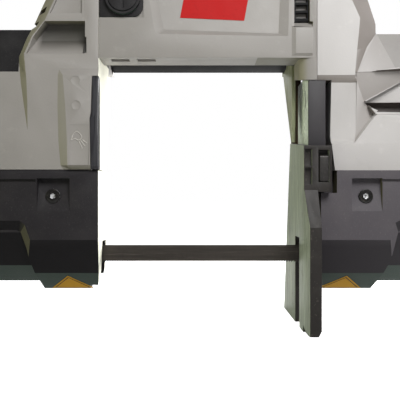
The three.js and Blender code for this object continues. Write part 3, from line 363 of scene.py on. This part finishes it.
def moulded(name, colour, roughness=0.5, dust=(0.05, 0.047, 0.045), side_light_tones=(), under=(0.030, 0.046, 0.036)):
    """Spark-eroded moulded plastic: a fine pebbled skin, dust in patches and some smeared gloss, with painted
    shade where it turns down and, underneath, another tone that is painted greenish light reflected from
    below. Tones are painted light and shade, as for paint."""
    f = Finish(name, colour, roughness, 0.0, 0.15)
    f.tint(f.ramp(f.noise(45, 5, 0.6), 0.45, 0.75, 0, 0.30), dust)
    f.tint(f.ramp(f.noise(900, 3), 0.60, 0.72, 0, 0.28), shade(dust, 1.3))
    # painted shade where the plastic turns down
    f.tint(f.facing((0, 0, -1), 0.25, 0.36), shade(colour, 0.35))
    # painted greenish reflected light on the underside
    f.tint(f.facing((0, 0, -1), 0.58, 0.68), under)
    # painted light and shade: tones on the sides that turn left or right
    f.sides(side_light_tones)
    f.shine(f.noise(30, 4), roughness - 0.12, roughness + 0.12)
    f.bump(f.cells(1400, "SMOOTH_F1"), 0.22, 0.0003)
    f.bump(f.noise(3000, 2), 0.12, 0.0002)
    return f.done()


def streaked(name, colour, roughness, metallic, along, dark=0.6, pale=1.35):
    """Metal rubbed or rolled in one direction: long fine streaks, small stains and scratches."""
    f = Finish(name, colour, roughness, metallic, 0.5)
    f.tint(f.ramp(f.noise(500, 4, 0.65, along), 0.42, 0.66, 0, 0.75), shade(colour, dark))
    f.tint(f.ramp(f.noise(900, 3, 0.6, along), 0.58, 0.74, 0, 0.7), shade(colour, pale))
    f.tint(f.ramp(f.noise(60, 6, 0.7), 0.60, 0.76, 0, 0.5), shade(colour, 0.5))
    f.shine(f.noise(260, 4, 0.6, along), roughness - 0.12, roughness + 0.16)
    f.bump(f.noise(1200, 3, 0.6, along), 0.14, 0.0002)
    return f.done()


def worn_shoe(name, dark, plate):
    """A dark steel shoe whose face towards the work is rubbed to pale, vertically streaked metal. The green
    cast of that pale face is painted greenish reflected light.
    """
    f = Finish(name, dark, 0.42, 0.0, 0.3)
    side = f.facing((-1, 0, 0), 0.35, 0.75)
    f.tint(f.ramp(f.noise(90, 5, 0.6), 0.45, 0.7, 0, 0.6), shade(dark, 1.9))
    f.tint(f.ramp(f.noise(420, 3, 0.6), 0.62, 0.75, 0, 0.5), (0.12, 0.105, 0.085))
    f.tint(side, plate)
    for scale, low, high, amount, colour in ((260, 0.40, 0.60, 0.85, shade(plate, 0.62)),
                                             (520, 0.50, 0.66, 0.8, shade(plate, 1.5)),
                                             (1100, 0.56, 0.68, 0.7, shade(plate, 0.35))):
        streaks = f.ramp(f.noise(scale, 4, 0.65, (1, 1, 0.07), 0.6), low, high, 0, amount)
        f.tint(f.times(side, streaks), colour)
    f.tint(f.times(side, f.ramp(f.noise(70, 6, 0.7), 0.60, 0.72, 0, 0.8)), shade(plate, 0.4))
    f.shine(f.noise(260, 4, 0.6, (1, 1, 0.1)), 0.3, 0.6)
    f.bump(f.noise(1200, 3, 0.6, (1, 1, 0.08)), 0.2, 0.0003)
    return f.done()


def cast(name, colour, roughness=0.5, metallic=0.55):
    """Bare or thinly painted casting with a sandy skin."""
    f = Finish(name, colour, roughness, metallic, 0.5)
    f.tint(f.ramp(f.noise(70, 5, 0.6), 0.4, 0.7, 0, 0.5), shade(colour, 0.7))
    f.tint(f.ramp(f.cells(900), 0.1, 0.5, 0.25, 0), shade(colour, 0.55))
    f.shine(f.noise(120, 4), roughness - 0.08, roughness + 0.15)
    f.bump(f.noise(1100, 4), 0.3, 0.0004)
    return f.done()


def rubbery(name, colour, roughness=0.7):
    """Matte rubber with a fine weave of small bumps."""
    f = Finish(name, colour, roughness, 0.0, 0.3)
    f.tint(f.ramp(f.noise(50, 5), 0.45, 0.8, 0, 0.35), shade(colour, 2.6))
    f.shine(f.noise(80, 3), roughness - 0.1, roughness + 0.12)
    f.bump(f.cells(650, "F1"), 0.4, 0.0005)
    return f.done()


def printed(name, colour):
    """A printed film: even colour with fine grain, scuffs and a thin gloss."""
    f = Finish(name, colour, 0.5, 0.0, 0.15)
    f.tint(f.ramp(f.noise(300, 5, 0.7), 0.55, 0.72, 0, 0.4), shade(colour, 0.62))
    f.tint(f.ramp(f.noise(1300, 2), 0.66, 0.8, 0, 0.4), shade(colour, 1.5))
    f.shine(f.noise(90, 4), 0.45, 0.65)
    f.bump(f.noise(1500, 2), 0.08, 0.0002)
    return f.done()


F = {}


def make_finishes():
    s = bpy.context.scene.saw_paint
    grey, pale = tuple(s.housing), tuple(s.gear_housing)
    left, right, down = (-1, 0, 0), (1, 0, 0), (0, 0, -1)
    # painted light: olive stands for greenish reflected light, the near-white tone for a painted glare
    olive, painted_glare = (0.25, 0.235, 0.155), (0.86, 0.85, 0.72)
    # painted light and shade on the housing: olive reflected light on sides turning left, near-white painted
    # glare on the throat side turning right, darker olive painted shade underneath, and painted shade in the
    # pocket's hollow
    F["housing"] = painted("housing_paint", grey, (
        (left, 0.25, 0.7, olive, -135), (right, 0.8, 0.95, painted_glare, -72),
        (down, 0.4, 0.8, shade(olive, 0.6), -400)), 0.42,
        ((-116, 140.5, 164.5, FRONT + 3, FRONT + 10.5, (0.085, 0.080, 0.070)),))
    # painted olive reflected light on sides turning left, and painted shade underneath
    F["motor_housing"] = painted("motor_housing_paint", grey, (
        (left, 0.4, 0.8, olive, -400), (down, 0.5, 0.9, shade(olive, 0.5), 40)))
    # painted shade on the gear housing: darker grey on sides turning right and down, near black where it
    # faces straight down, and dark brown in the slot's hollow
    F["gear_housing"] = painted("gear_housing_paint", pale, (
        (right, 0.10, 0.45, (0.29, 0.262, 0.242), -400), (down, 0.08, 0.5, (0.25, 0.225, 0.205), -400),
        (down, 0.85, 0.98, (0.05, 0.038, 0.030), -400)), 0.45,
        ((114, 99, 108.4, FRONT + 5.6, FRONT + 7.6, (0.060, 0.044, 0.037)),))
    F["cover"] = painted("wheel_guard_paint", (0.36, 0.35, 0.33), (), 0.5)
    # painted light on the guards: olive reflected light on sides turning left, near-white painted glare on
    # the throat side turning right
    F["guard"] = moulded("guard_plastic", tuple(s.guard), 0.5, (0.05, 0.047, 0.045), (
        (left, 0.25, 0.6, (0.085, 0.080, 0.045), -135), (right, 0.8, 0.95, painted_glare, -76)))
    # the guards' black plastic made four times paler as a painted sheen, with painted olive reflected light
    # on sides turning left
    F["right_guard"] = moulded("right_guard_plastic_painted_sheen", shade(tuple(s.guard), 4.0), 0.5, (0.13, 0.12, 0.12), (
        (left, 0.8, 0.95, (0.12, 0.11, 0.06), -400),))
    # black plastic made darker still: partly its own black, partly painted shade of its deep recess
    F["louvre"] = moulded("louvre_plastic", (0.006, 0.006, 0.006), 0.6, (0.02, 0.02, 0.02), (),
                          (0.006, 0.006, 0.006))
    F["handle"] = moulded("handle_plastic", (0.020, 0.019, 0.020), 0.55, (0.06, 0.058, 0.056))
    # the shoe's pale face is real wear, its green cast painted reflected light
    F["shoe"] = worn_shoe("shoe_plating", (0.020, 0.017, 0.015), tuple(s.shoe))
    # plating made bright, pale green and non-metallic: painted light over the web's shadow, with painted
    # greenish reflected light
    F["rail"] = streaked("rail_plating", (0.80, 0.90, 0.72), 0.4, 0.0, (1, 1, 0.5), 0.6, 1.25)
    F["blade"] = streaked("blade_steel", tuple(s.blade), 0.42, 0.6, (0.05, 1, 1), 0.6, 1.9)
    F["steel"] = streaked("turned_steel", (0.42, 0.42, 0.40), 0.32, 0.9, (1, 1, 1))
    F["dark_steel"] = streaked("blackened_steel", (0.045, 0.042, 0.040), 0.4, 0.7, (1, 1, 1), 0.6, 1.8)
    F["cast"] = cast("cast_metal", (0.30, 0.30, 0.285))
    F["frame"] = framed()
    F["column"] = column_plastic()
    F["screw"] = screw_steel()
    F["rubber"] = rubbery("grip_rubber", (0.014, 0.014, 0.014))
    F["accent"] = printed("red_film", tuple(s.accent))
    F["amber"] = printed("amber_film", tuple(s.amber))
    F["red_plastic"] = moulded("red_plastic", (0.36, 0.016, 0.012), 0.4, (0.42, 0.10, 0.08))
    F["lens"] = lens()
    F["copper"] = streaked("wound_copper", (0.45, 0.19, 0.09), 0.35, 0.85, (0.1, 1, 1))
    F["bronze"] = streaked("turned_bronze", (0.45, 0.27, 0.09), 0.35, 0.85, (1, 1, 1))
    F["emblem"] = painted("raised_paint", shade(grey, 1.5), ())
    F["ink"] = printed("dark_film", (0.02, 0.018, 0.016))


def framed():
    """The casting of the frame: grey paint, and olive, streaked bare metal on the web beside the slide; the
    olive is partly dirty plating and partly painted greenish reflected light.
    """
    f = Finish("frame_casting", (0.36, 0.345, 0.33), 0.5, 0.1, 0.5)
    web = f.times(f.place("X", CUT[0] + 0.066, CUT[0] + 0.0665),
                  f.ramp(f.place("X", CUT[0] + 0.074, CUT[0] + 0.0745), 0, 1, 1, 0))
    f.tint(f.ramp(f.noise(70, 5, 0.6), 0.4, 0.7, 0, 0.4), (0.28, 0.27, 0.255))
    # olive on the web: partly dirty plating, partly painted greenish reflected light
    f.tint(web, (0.27, 0.285, 0.17))
    f.tint(f.times(web, f.ramp(f.noise(160, 5, 0.65, (1, 1, 0.12)), 0.42, 0.62, 0, 0.8)), (0.17, 0.175, 0.10))
    f.tint(f.times(web, f.ramp(f.noise(420, 4, 0.65, (1, 1, 0.08)), 0.52, 0.66, 0, 0.7)), (0.42, 0.44, 0.30))
    f.shine(f.noise(120, 4), 0.42, 0.65)
    f.bump(f.noise(1100, 4), 0.3, 0.0004)
    return f.done()


def column_plastic():
    """Black plastic of the column, brown and dull on the wall behind it, with painted shade where it turns
    left.
    """
    f = Finish("column_plastic", (0.032, 0.029, 0.032), 0.45, 0.0, 0.35)
    behind = f.place("Y", CUT[1] + 0.040, CUT[1] + 0.041)
    f.tint(f.ramp(f.noise(60, 5, 0.6), 0.45, 0.75, 0, 0.4), (0.055, 0.050, 0.052))
    # painted shade on the sides that turn left
    f.tint(f.facing((-1, 0, 0), 0.3, 0.7), (0.012, 0.010, 0.008))
    f.tint(behind, (0.085, 0.060, 0.036))
    f.tint(f.times(behind, f.ramp(f.noise(200, 4, 0.6, (1, 1, 0.1)), 0.4, 0.65, 0, 0.7)),
           (0.045, 0.030, 0.018))
    f.shine(f.noise(60, 4), 0.38, 0.6)
    f.bump(f.cells(1400, "SMOOTH_F1"), 0.2, 0.0003)
    return f.done()


def screw_steel():
    """Blackened, oiled screw heads with a socket painted near white."""
    f = Finish("screw_steel", (0.012, 0.011, 0.010), 0.22, 0.3, 0.6)
    socket = f.place("Y", CUT[1] + (FRONT + 3.0) * MM, CUT[1] + (FRONT + 3.1) * MM)
    f.tint(f.ramp(f.noise(500, 4, 0.6), 0.55, 0.7, 0, 0.5), (0.06, 0.05, 0.035))
    # the socket is painted near white
    f.tint(f.times(socket, f.ramp(f.noise(380, 3, 0.6), 0.42, 0.52, 0.1, 1)), (0.85, 0.85, 0.86))
    f.shine(f.noise(300, 3), 0.15, 0.32)
    f.bump(f.noise(1500, 3), 0.1, 0.0002)
    return f.done()


def lens():
    """Dark clear plastic over the lamp, with fine vertical prisms under a glossy skin."""
    f = Finish("lamp_lens", (0.020, 0.019, 0.022), 0.25, 0.0, 0.3)
    f.tint(f.ramp(f.noise(700, 2, 0.5, (1, 1, 0.05)), 0.4, 0.6, 0, 0.7), (0.06, 0.06, 0.065))
    f.shine(f.noise(80, 3), 0.08, 0.24)
    f.shader.inputs["Coat Weight"].default_value = 0.2
    f.bump(f.noise(600, 2, 0.5, (1, 1, 0.04)), 0.12, 0.0003)
    return f.done()


# ------------------------------------------------------------------ frame nodes


def dress(name, finish, bevel=None, steps=None, angle=28.0, crease=31):
    """Gives a CAD node its finish and, by live modifiers, welded, dissolved, rounded and creased edges."""
    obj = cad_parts[name]
    obj.data.materials.clear()
    obj.data.materials.append(F[finish])
    if bevel is None:
        return obj
    s = bpy.context.scene.saw_sizes
    weld = obj.modifiers.new("weld", "WELD")
    weld.merge_threshold = 0.00001
    flat = obj.modifiers.new("flatten", "DECIMATE")
    flat.decimate_type = "DISSOLVE"
    flat.angle_limit = math.radians(1.0)
    rounding = obj.modifiers.new("round", "BEVEL")
    rounding.width = bevel * s.edge_round
    rounding.segments = steps or s.bevel_steps
    rounding.limit_method = "ANGLE"
    rounding.angle_limit = math.radians(angle)
    rounding.use_clamp_overlap = True
    rounding.harden_normals = False
    smooth = obj.modifiers.new("shade", "NODES")
    smooth.node_group = shade_group(crease)
    return obj


def shade_group(crease):
    """A node group that shades a mesh smooth, except at edges sharper than crease, in degrees."""
    found = bpy.data.node_groups.get(f"smooth_by_{crease}")
    if found:
        return found
    g = bpy.data.node_groups.new(f"smooth_by_{crease}", "GeometryNodeTree")
    g.interface.new_socket("Geometry", in_out="INPUT", socket_type="NodeSocketGeometry")
    g.interface.new_socket("Geometry", in_out="OUTPUT", socket_type="NodeSocketGeometry")
    start, end = g.nodes.new("NodeGroupInput"), g.nodes.new("NodeGroupOutput")
    faces = g.nodes.new("GeometryNodeSetShadeSmooth")
    faces.domain = "FACE"
    edges = g.nodes.new("GeometryNodeSetShadeSmooth")
    edges.domain = "EDGE"
    angle = g.nodes.new("GeometryNodeInputMeshEdgeAngle")
    test = g.nodes.new("FunctionNodeCompare")
    test.data_type = "FLOAT"
    test.operation = "LESS_EQUAL"
    test.inputs[1].default_value = math.radians(crease)
    g.links.new(start.outputs[0], faces.inputs[0])
    g.links.new(faces.outputs[0], edges.inputs[0])
    g.links.new(angle.outputs["Unsigned Angle"], test.inputs[0])
    g.links.new(test.outputs[0], edges.inputs["Shade Smooth"])
    g.links.new(edges.outputs[0], end.inputs[0])
    return g


class SAW_OT_finishes(bpy.types.Operator):
    """Makes the finishes of the saw"""

    bl_idname = "saw.finishes"
    bl_label = "Finishes"

    def execute(self, context):
        make_finishes()
        return {"FINISHED"}


class SAW_OT_housings(bpy.types.Operator):
    """Dresses the housings, guards and frame"""

    bl_idname = "saw.housings"
    bl_label = "Housings and guards"

    def execute(self, context):
        dress("idler_housing", "housing", 1.0, angle=14.0, crease=19)
        dress("motor_housing", "motor_housing", 1.0, angle=14.0, crease=19)
        dress("gear_housing", "gear_housing", 1.0, angle=14.0, crease=19)
        dress("left_blade_guard", "guard", 1.0, angle=14.0, crease=19)
        dress("right_blade_guard", "right_guard", 1.0, angle=14.0, crease=19)
        dress("idler_wheel_guard", "guard", 1.5)
        dress("drive_wheel_guard", "cover", 1.5)
        dress("idler_cover_plate", "handle", 0.4)
        # the near-black finish here is partly painted shade
        dress("return_blade_guard", "louvre", 0.4)
        dress("main_frame", "frame", 0.8)
        dress("fan_louvre", "louvre", 0.3)
        dress("work_light_lens", "lens", 0.4)
        dress("front_brush", "handle", 0.6)
        dress("rear_brush", "handle", 0.6)
        for name in ("left_guard_screw", "right_guard_screw"):
            dress(name, "screw", 0.4)
        return {"FINISHED"}


class SAW_OT_mechanism(bpy.types.Operator):
    """Dresses the motor, gears, wheels, guides and the tension lever"""

    bl_idname = "saw.mechanism"
    bl_label = "Mechanism"

    def execute(self, context):
        for name in ("idler_wheel", "drive_wheel"):
            dress(name, "cast", 0.5)
        for name in ("idler_tyre", "drive_tyre"):
            dress(name, "rubber", 0.5)
        for name in ("idler_bearing", "idler_slide", "drive_bearing", "drive_shaft", "armature_shaft",
                     "counter_gear", "counter_pin", "worm_shaft", "commutator_bearing", "fan_bearing"):
            dress(name, "steel", 0.25)
        for side in ("left", "right"):
            for kind in ("front", "rear", "thrust"):
                dress(f"{side}_{kind}_roller", "steel", 0.4)
            dress(f"{side}_guide_bracket", "cast", 0.5)
        for name in ("stator", "switch_body"):
            dress(name, "dark_steel", 0.4)
        for name in ("armature_core", "commutator"):
            dress(name, "copper", 0.3)
        dress("worm_wheel", "bronze", 0.25)
        dress("cooling_fan", "handle", 0.4)
        dress("tension_lever", "handle", 1.5)
        return {"FINISHED"}


class SAW_OT_shoe(bpy.types.Operator):
    """Dresses the work shoe, its latch, column and rail"""

    bl_idname = "saw.shoe"
    bl_label = "Work shoe"

    def execute(self, context):
        dress("work_shoe", "shoe", 0.8)
        dress("shoe_latch", "dark_steel", 0.6)
        dress("shoe_column", "column", 0.7)
        dress("shoe_rail", "rail", 0.4)
        return {"FINISHED"}


def blade_path(s):
    """Centres and the two section directions of the blade at distances s along its loop.

    The lower run goes straight along +x at y = z = 0. Its width turns from the wheels' axis a = (0, cos t,
    -sin t) to straight down between the guides, by the smooth step 3q^2 - 2q^3. Then follow the half circle
    round the drive wheel, the upper run, and the half circle round the idler wheel, where the width stays
    along a."""
    span, half = DRIVE_X - IDLER_X, math.pi * RUN
    loop = 2 * (span + half)
    s = np.asarray(s, float) % loop
    out = np.zeros((len(s), 3))
    centre = np.zeros((len(s), 3))
    width = np.tile([0.0, math.cos(TILT), -math.sin(TILT)], (len(s), 1))
    up = np.array([0.0, math.sin(TILT), math.cos(TILT)])
    hub = np.array([0.0, WHEEL_Y, WHEEL_Z])
    low = s < span
    x = IDLER_X + s
    q = np.minimum(np.clip((x - (IDLER_X + 12)) / 52, 0, 1), np.clip(((DRIVE_X - 10) - x) / 48, 0, 1))
    a = -TILT - (math.pi / 2 - TILT) * (3 * q**2 - 2 * q**3)
    centre[low] = np.stack([x, 0 * x, 0 * x], -1)[low]
    width[low] = np.stack([0 * a, np.cos(a), np.sin(a)], -1)[low]
    out[low] = np.stack([0 * a, np.sin(a), -np.cos(a)], -1)[low]
    for x0, start, turn in ((DRIVE_X, span, -math.pi / 2), (IDLER_X, 2 * span + half, math.pi / 2)):
        on = (s >= start) & (s <= start + half)
        b = turn + (s - start) / RUN
        radial = np.cos(b)[:, None] * np.array([1.0, 0, 0]) + np.sin(b)[:, None] * up
        out[on] = radial[on]
        centre[on] = (np.array([x0, 0, 0]) + hub + RUN * radial)[on]
    top = (s > span + half) & (s < 2 * span + half)
    centre[top] = np.stack([DRIVE_X - (s - span - half), 0 * s + hub[1] + RUN * up[1],
                            0 * s + hub[2] + RUN * up[2]], -1)[top]
    out[top] = up
    return centre, width, out


class SAW_OT_blade(bpy.types.Operator):
    """Builds the toothed blade"""

    bl_idname = "saw.blade"
    bl_label = "Blade"

    def execute(self, context):
        sizes = context.scene.saw_sizes
        loop = 2 * (DRIVE_X - IDLER_X + math.pi * RUN)
        teeth = int(round(loop / (sizes.tooth_pitch / MM)))
        pitch = loop / teeth
        depth = sizes.tooth_depth / MM
        phase = np.array([0.0, 0.10, 0.42, 0.74])
        height = np.array([0.0, 1.0, 0.45, 0.0])
        set_way = np.array([0.0, 1.0, -1.0])
        k = np.arange(teeth)
        s = ((k[:, None] + phase) * pitch).ravel()
        rise = np.tile(height, teeth) * depth
        lean = np.repeat(set_way[k % 3], 4) * np.tile(height, teeth) * 0.16
        c, w, o = blade_path(s)
        edge, gullet, half = -BLADE_WIDTH / 2, BLADE_WIDTH / 2 - depth, BLADE_THICK / 2
        rows = [(edge + 0.15, half, 0), (gullet - 0.3, half, 0), (gullet, half, 1),
                (gullet, -half, 1), (gullet - 0.3, -half, 0), (edge + 0.15, -half, 0),
                (edge, -half + 0.15, 0), (edge, half - 0.15, 0)]
        points = np.empty((len(s), len(rows), 3))
        for i, (across, thick, tip) in enumerate(rows):
            points[:, i] = c + w * (across + tip * rise)[:, None] + o * (thick + tip * lean)[:, None]
        faces = ring_faces(len(s), len(rows), True).tolist()
        flat = points.reshape(-1, 3)
        piece("toothed_blade", flat, turned_outwards(flat, faces), F["blade"], "frame",
              ("saw_blade",), sharp=35)
        return {"FINISHED"}


HANDLE_Y = 16.0  # depth of both handles' middle, from the cut
HANDLE_STEPS = 150  # places along the main handle
HANDLE_CORNERS = 56  # points round it


class SAW_OT_handles(bpy.types.Operator):
    """Builds the main handle and the front handle, and dresses their controls"""

    bl_idname = "saw.handles"
    bl_label = "Handles"

    def execute(self, context):
        line = smooth_line([[100, 216, 13, 15], [103, 236, 15, 15.5], [118, 249, 16, 16],
                            [150, 250, 17, 16.5], [190, 247, 16, 16.5], [222, 240, 17, 16.5],
                            [236, 220, 17, 16], [239, 190, 17, 15.5], [240, 160, 17, 15],
                            [240, 124, 17, 13]], HANDLE_STEPS)
        p, f = sweep(line[:, :2], line[:, 2], line[:, 3], HANDLE_CORNERS, 2.7, HANDLE_Y)
        q = p.copy()
        along = np.clip((17.5 - np.abs(p[:, 0] - 166.5)) / 1.5, 0, 1)
        across = np.clip((9.6 - np.abs(p[:, 1] - HANDLE_Y)) / 1.2, 0, 1)
        below = p[:, 2] < 246
        q[:, 2] += np.where(below, 9.0, 0) * along * across
        seam = np.exp(-((p[:, 1] - HANDLE_Y) / 0.35) ** 2) * 0.5
        n = p - np.repeat(np.column_stack([line[:, 0], np.full(HANDLE_STEPS, HANDLE_Y), line[:, 1]]),
                          HANDLE_CORNERS, axis=0)
        n /= np.maximum(np.linalg.norm(n, axis=1), 1e-6)[:, None]
        q -= n * seam[:, None]
        piece("main_handle", q, f, F["handle"], "frame",
              ("front_handle_half", "rear_handle_half"), sharp=50)
        front = smooth_line([[-92, 214, 8, 11], [-99, 236, 9, 11.5], [-112, 241, 10, 11.5],
                             [-160, 241, 9, 9], [-213, 241, 10, 11.5], [-228, 234, 10, 11.5],
                             [-231, 200, 11, 11], [-231, 160, 12, 11], [-230, 118, 13, 11]], 140)
        p, f = sweep(front[:, :2], front[:, 2], front[:, 3], 40, 2.5, HANDLE_Y)
        piece("front_handle_arch", p, f, F["handle"], "frame", ("front_handle",), sharp=50)
        x = np.linspace(-213.4, -112.6, 120)
        t = (x - x[0]) / (x[-1] - x[0])
        ribs = 0.55 * np.clip(np.sin(2 * math.pi * t * 17), -0.35, 0.35) / 0.35
        swell = 13.2 + 1.3 * np.sin(math.pi * t) ** 0.6 + ribs * (np.abs(t - 0.5) < 0.42)
        ends = np.minimum(1, np.sqrt(np.clip(np.minimum(t, 1 - t) / 0.025, 0.02, 1)))
        p, f = sweep(np.stack([x, np.full_like(x, 241.0)], -1), swell * ends, swell * ends, 48, 2.0, HANDLE_Y)
        piece("front_grip_sleeve", p, f, F["rubber"], "frame", ("front_grip",), sharp=50)
        dress("trigger", "red_plastic", 2.0)
        dress("lock_button", "handle", 0.8)
        dress("speed_dial", "handle", 0.8)
        dress("cord_gland", "rubber", 0.8)
        return {"FINISHED"}


class SAW_OT_marks(bpy.types.Operator):
    """Adds the printed marks: the panel's band and the amber triangles"""

    bl_idname = "saw.marks"
    bl_label = "Marks"

    def execute(self, context):
        panel = ((0, FRONT + 3.6, 0), (1, 0, 0), (0, 0, 1))
        p, f = plate([[-14, 167], [31, 165], [40, 214], [-5, 214]], panel, 0.25)
        piece("panel_band", p, f, F["accent"], smooth=False)
        low, high = np.array([0, -1.0, -25.3]), np.array([0, -15.0, -12.6])
        v = (high - low) / np.linalg.norm(high - low)
        plane = (low, (1, 0, 0), v)
        for name, x0, x1, top in (("left", -108.0, -77.3, -94.6), ("right", 86.0, 117.5, 105.0)):
            outer = np.array([[x0, 0.6], [x1, 0.6], [top, 15.5]])
            middle = outer.mean(0)
            for part, scale, thick, finish, slot in (("edge", 1.0, 0.20, "amber", "bronze"),
                                                     ("line", 0.86, 0.26, "ink", "black_plastic"),
                                                     ("face", 0.78, 0.32, "amber", "bronze")):
                p, f = plate(middle + (outer - middle) * scale, plane, thick)
                piece(f"{name}_mark_{part}", p, f, F[finish], smooth=False)
        return {"FINISHED"}


def drawn(name, strokes, width, height, finish, y_of):
    """Raised strokes on a face: each a line of [x, z] points, swept at the depth y_of(z)."""
    points, faces, count = [], [], 0
    for stroke in strokes:
        line = smooth_line(np.column_stack([stroke, np.zeros(len(stroke))]), 24)[:, :2]
        p, f = sweep(line, np.full(24, width), np.full(24, height), 12, 2.0, 0.0)
        p[:, 1] += y_of(p[:, 2])
        points.append(p)
        faces += [[i + count for i in face] for face in f]
        count += len(p)
    return piece(name, np.vstack(points), faces, F[finish], "frame", sharp=60)


class SAW_OT_details(bpy.types.Operator):
    """Adds the lamp emblem: a lamp and three rays, as raised strokes"""

    bl_idname = "saw.details"
    bl_label = "Small details"

    def execute(self, context):
        lamp = [[[-88.8, 80.6], [-88.0, 84.0], [-85.6, 86.6], [-84.6, 86.6]],
                [[-84.6, 86.6], [-82.4, 84.4], [-81.6, 82.4]],
                [[-88.8, 80.6], [-86.4, 81.6], [-84.2, 80.4]], [[-84.2, 80.4], [-82.6, 81.2], [-81.6, 82.4]]]
        rays = [[[-83.4, 79.6], [-82.2, 77.0], [-81.2, 74.8]], [[-82.2, 80.2], [-80.6, 78.0], [-79.4, 76.4]],
                [[-81.2, 81.0], [-79.6, 79.6], [-78.2, 78.6]]]
        drawn("lamp_emblem", lamp + rays, 0.42, 0.6, "emblem", lambda z: -28.3 + 0 * z)
        return {"FINISHED"}


class SAW_OT_stage(bpy.types.Operator):
    """Makes the floor, the lights, the world and the camera"""

    bl_idname = "saw.stage"
    bl_label = "Studio"

    def execute(self, context):
        scene = context.scene
        mesh = bpy.data.meshes.new("floor")
        mesh.from_pydata([(-60, -60, 0), (60, -60, 0), (60, 60, 0), (-60, 60, 0)], [], [(0, 1, 2, 3)])
        floor = bpy.data.objects.new("floor", mesh)
        scene.collection.objects.link(floor)
        f = Finish("pale_floor", (0.6, 0.6, 0.6), 0.6)
        f.tint(f.ramp(f.noise(3, 2), 0.3, 0.7, 0, 0.2), (0.55, 0.55, 0.55))
        seen = f.node("ShaderNodeLightPath")
        f.link(seen.outputs["Is Camera Ray"], f.shader.inputs["Emission Strength"])
        f.shader.inputs["Emission Color"].default_value = (1, 1, 1, 1)
        mesh.materials.append(f.done())
        world = bpy.data.worlds.new("studio")
        scene.world = world
        world.use_nodes = True
        sky = world.node_tree.nodes["Background"]
        sky.inputs["Color"].default_value = (1, 1, 1, 1)
        sky.inputs["Strength"].default_value = 1.0
        seen = world.node_tree.nodes.new("ShaderNodeLightPath")
        strength = world.node_tree.nodes.new("ShaderNodeMapRange")
        strength.inputs["To Min"].default_value, strength.inputs["To Max"].default_value = 0.17, 1.0
        world.node_tree.links.new(seen.outputs["Is Camera Ray"], strength.inputs["Value"])
        world.node_tree.links.new(strength.outputs["Result"], sky.inputs["Strength"])
        scene.view_settings.view_transform = "Standard"

        def area(name, at, to, size, energy, colour=(1, 1, 1)):
            data = bpy.data.lights.new(name, "AREA")
            data.shape = "RECTANGLE"
            data.size, data.size_y = size
            data.energy = energy
            data.color = colour
            lamp = bpy.data.objects.new(name, data)
            scene.collection.objects.link(lamp)
            lamp.location = at
            lamp.rotation_euler = (Vector(to) - Vector(at)).to_track_quat("-Z", "Y").to_euler()

        aim = tuple(row([0, 0, 80]))
        area("key", tuple(row([190, -620, 520])), aim, (0.35, 0.35), 5.2)
        area("side", tuple(row([620, 420, 260])), tuple(row([-70, 10, 90])), (0.5, 0.5), 14)
        area("bench", tuple(row([-700, -300, -20])), aim, (0.8, 0.4), 1.2, (0.80, 0.85, 0.50))
        area("back", tuple(row([0, 900, 700])), aim, (1.4, 0.8), 10)
        cam = bpy.data.cameras.new("camera")
        cam.lens, cam.sensor_width = 58.86, 36
        camera = bpy.data.objects.new("camera", cam)
        scene.collection.objects.link(camera)
        camera.location = row([0, -480, 39.3])
        camera.rotation_euler = (math.radians(90), 0, 0)
        cam.clip_start, cam.clip_end = 0.01, 30
        scene.camera = camera
        return {"FINISHED"}


STEPS = (SAW_OT_finishes, SAW_OT_housings, SAW_OT_mechanism, SAW_OT_shoe, SAW_OT_blade, SAW_OT_handles,
         SAW_OT_marks, SAW_OT_details, SAW_OT_stage)


class SAW_PT_panel(bpy.types.Panel):
    """Lists the saw's settings and steps"""

    bl_label = "Band saw"
    bl_idname = "SAW_PT_panel"
    bl_space_type = "VIEW_3D"
    bl_region_type = "UI"
    bl_category = "Band saw"

    def draw(self, context):
        for group in (context.scene.saw_paint, context.scene.saw_sizes):
            for key in group.__annotations__:
                self.layout.prop(group, key)
        for step in STEPS:
            self.layout.operator(step.bl_idname)


CLASSES = (SawPaint, SawSizes, *STEPS, SAW_PT_panel)


def register():
    for cls in CLASSES:
        bpy.utils.register_class(cls)
    bpy.types.Scene.saw_paint = PointerProperty(type=SawPaint)
    bpy.types.Scene.saw_sizes = PointerProperty(type=SawSizes)


def unregister():
    del bpy.types.Scene.saw_sizes
    del bpy.types.Scene.saw_paint
    for cls in reversed(CLASSES):
        bpy.utils.unregister_class(cls)


def main():
    register()
    for step in STEPS:
        group, name = step.bl_idname.split(".")
        getattr(getattr(bpy.ops, group), name)()


if __name__ == "__main__":
    main()
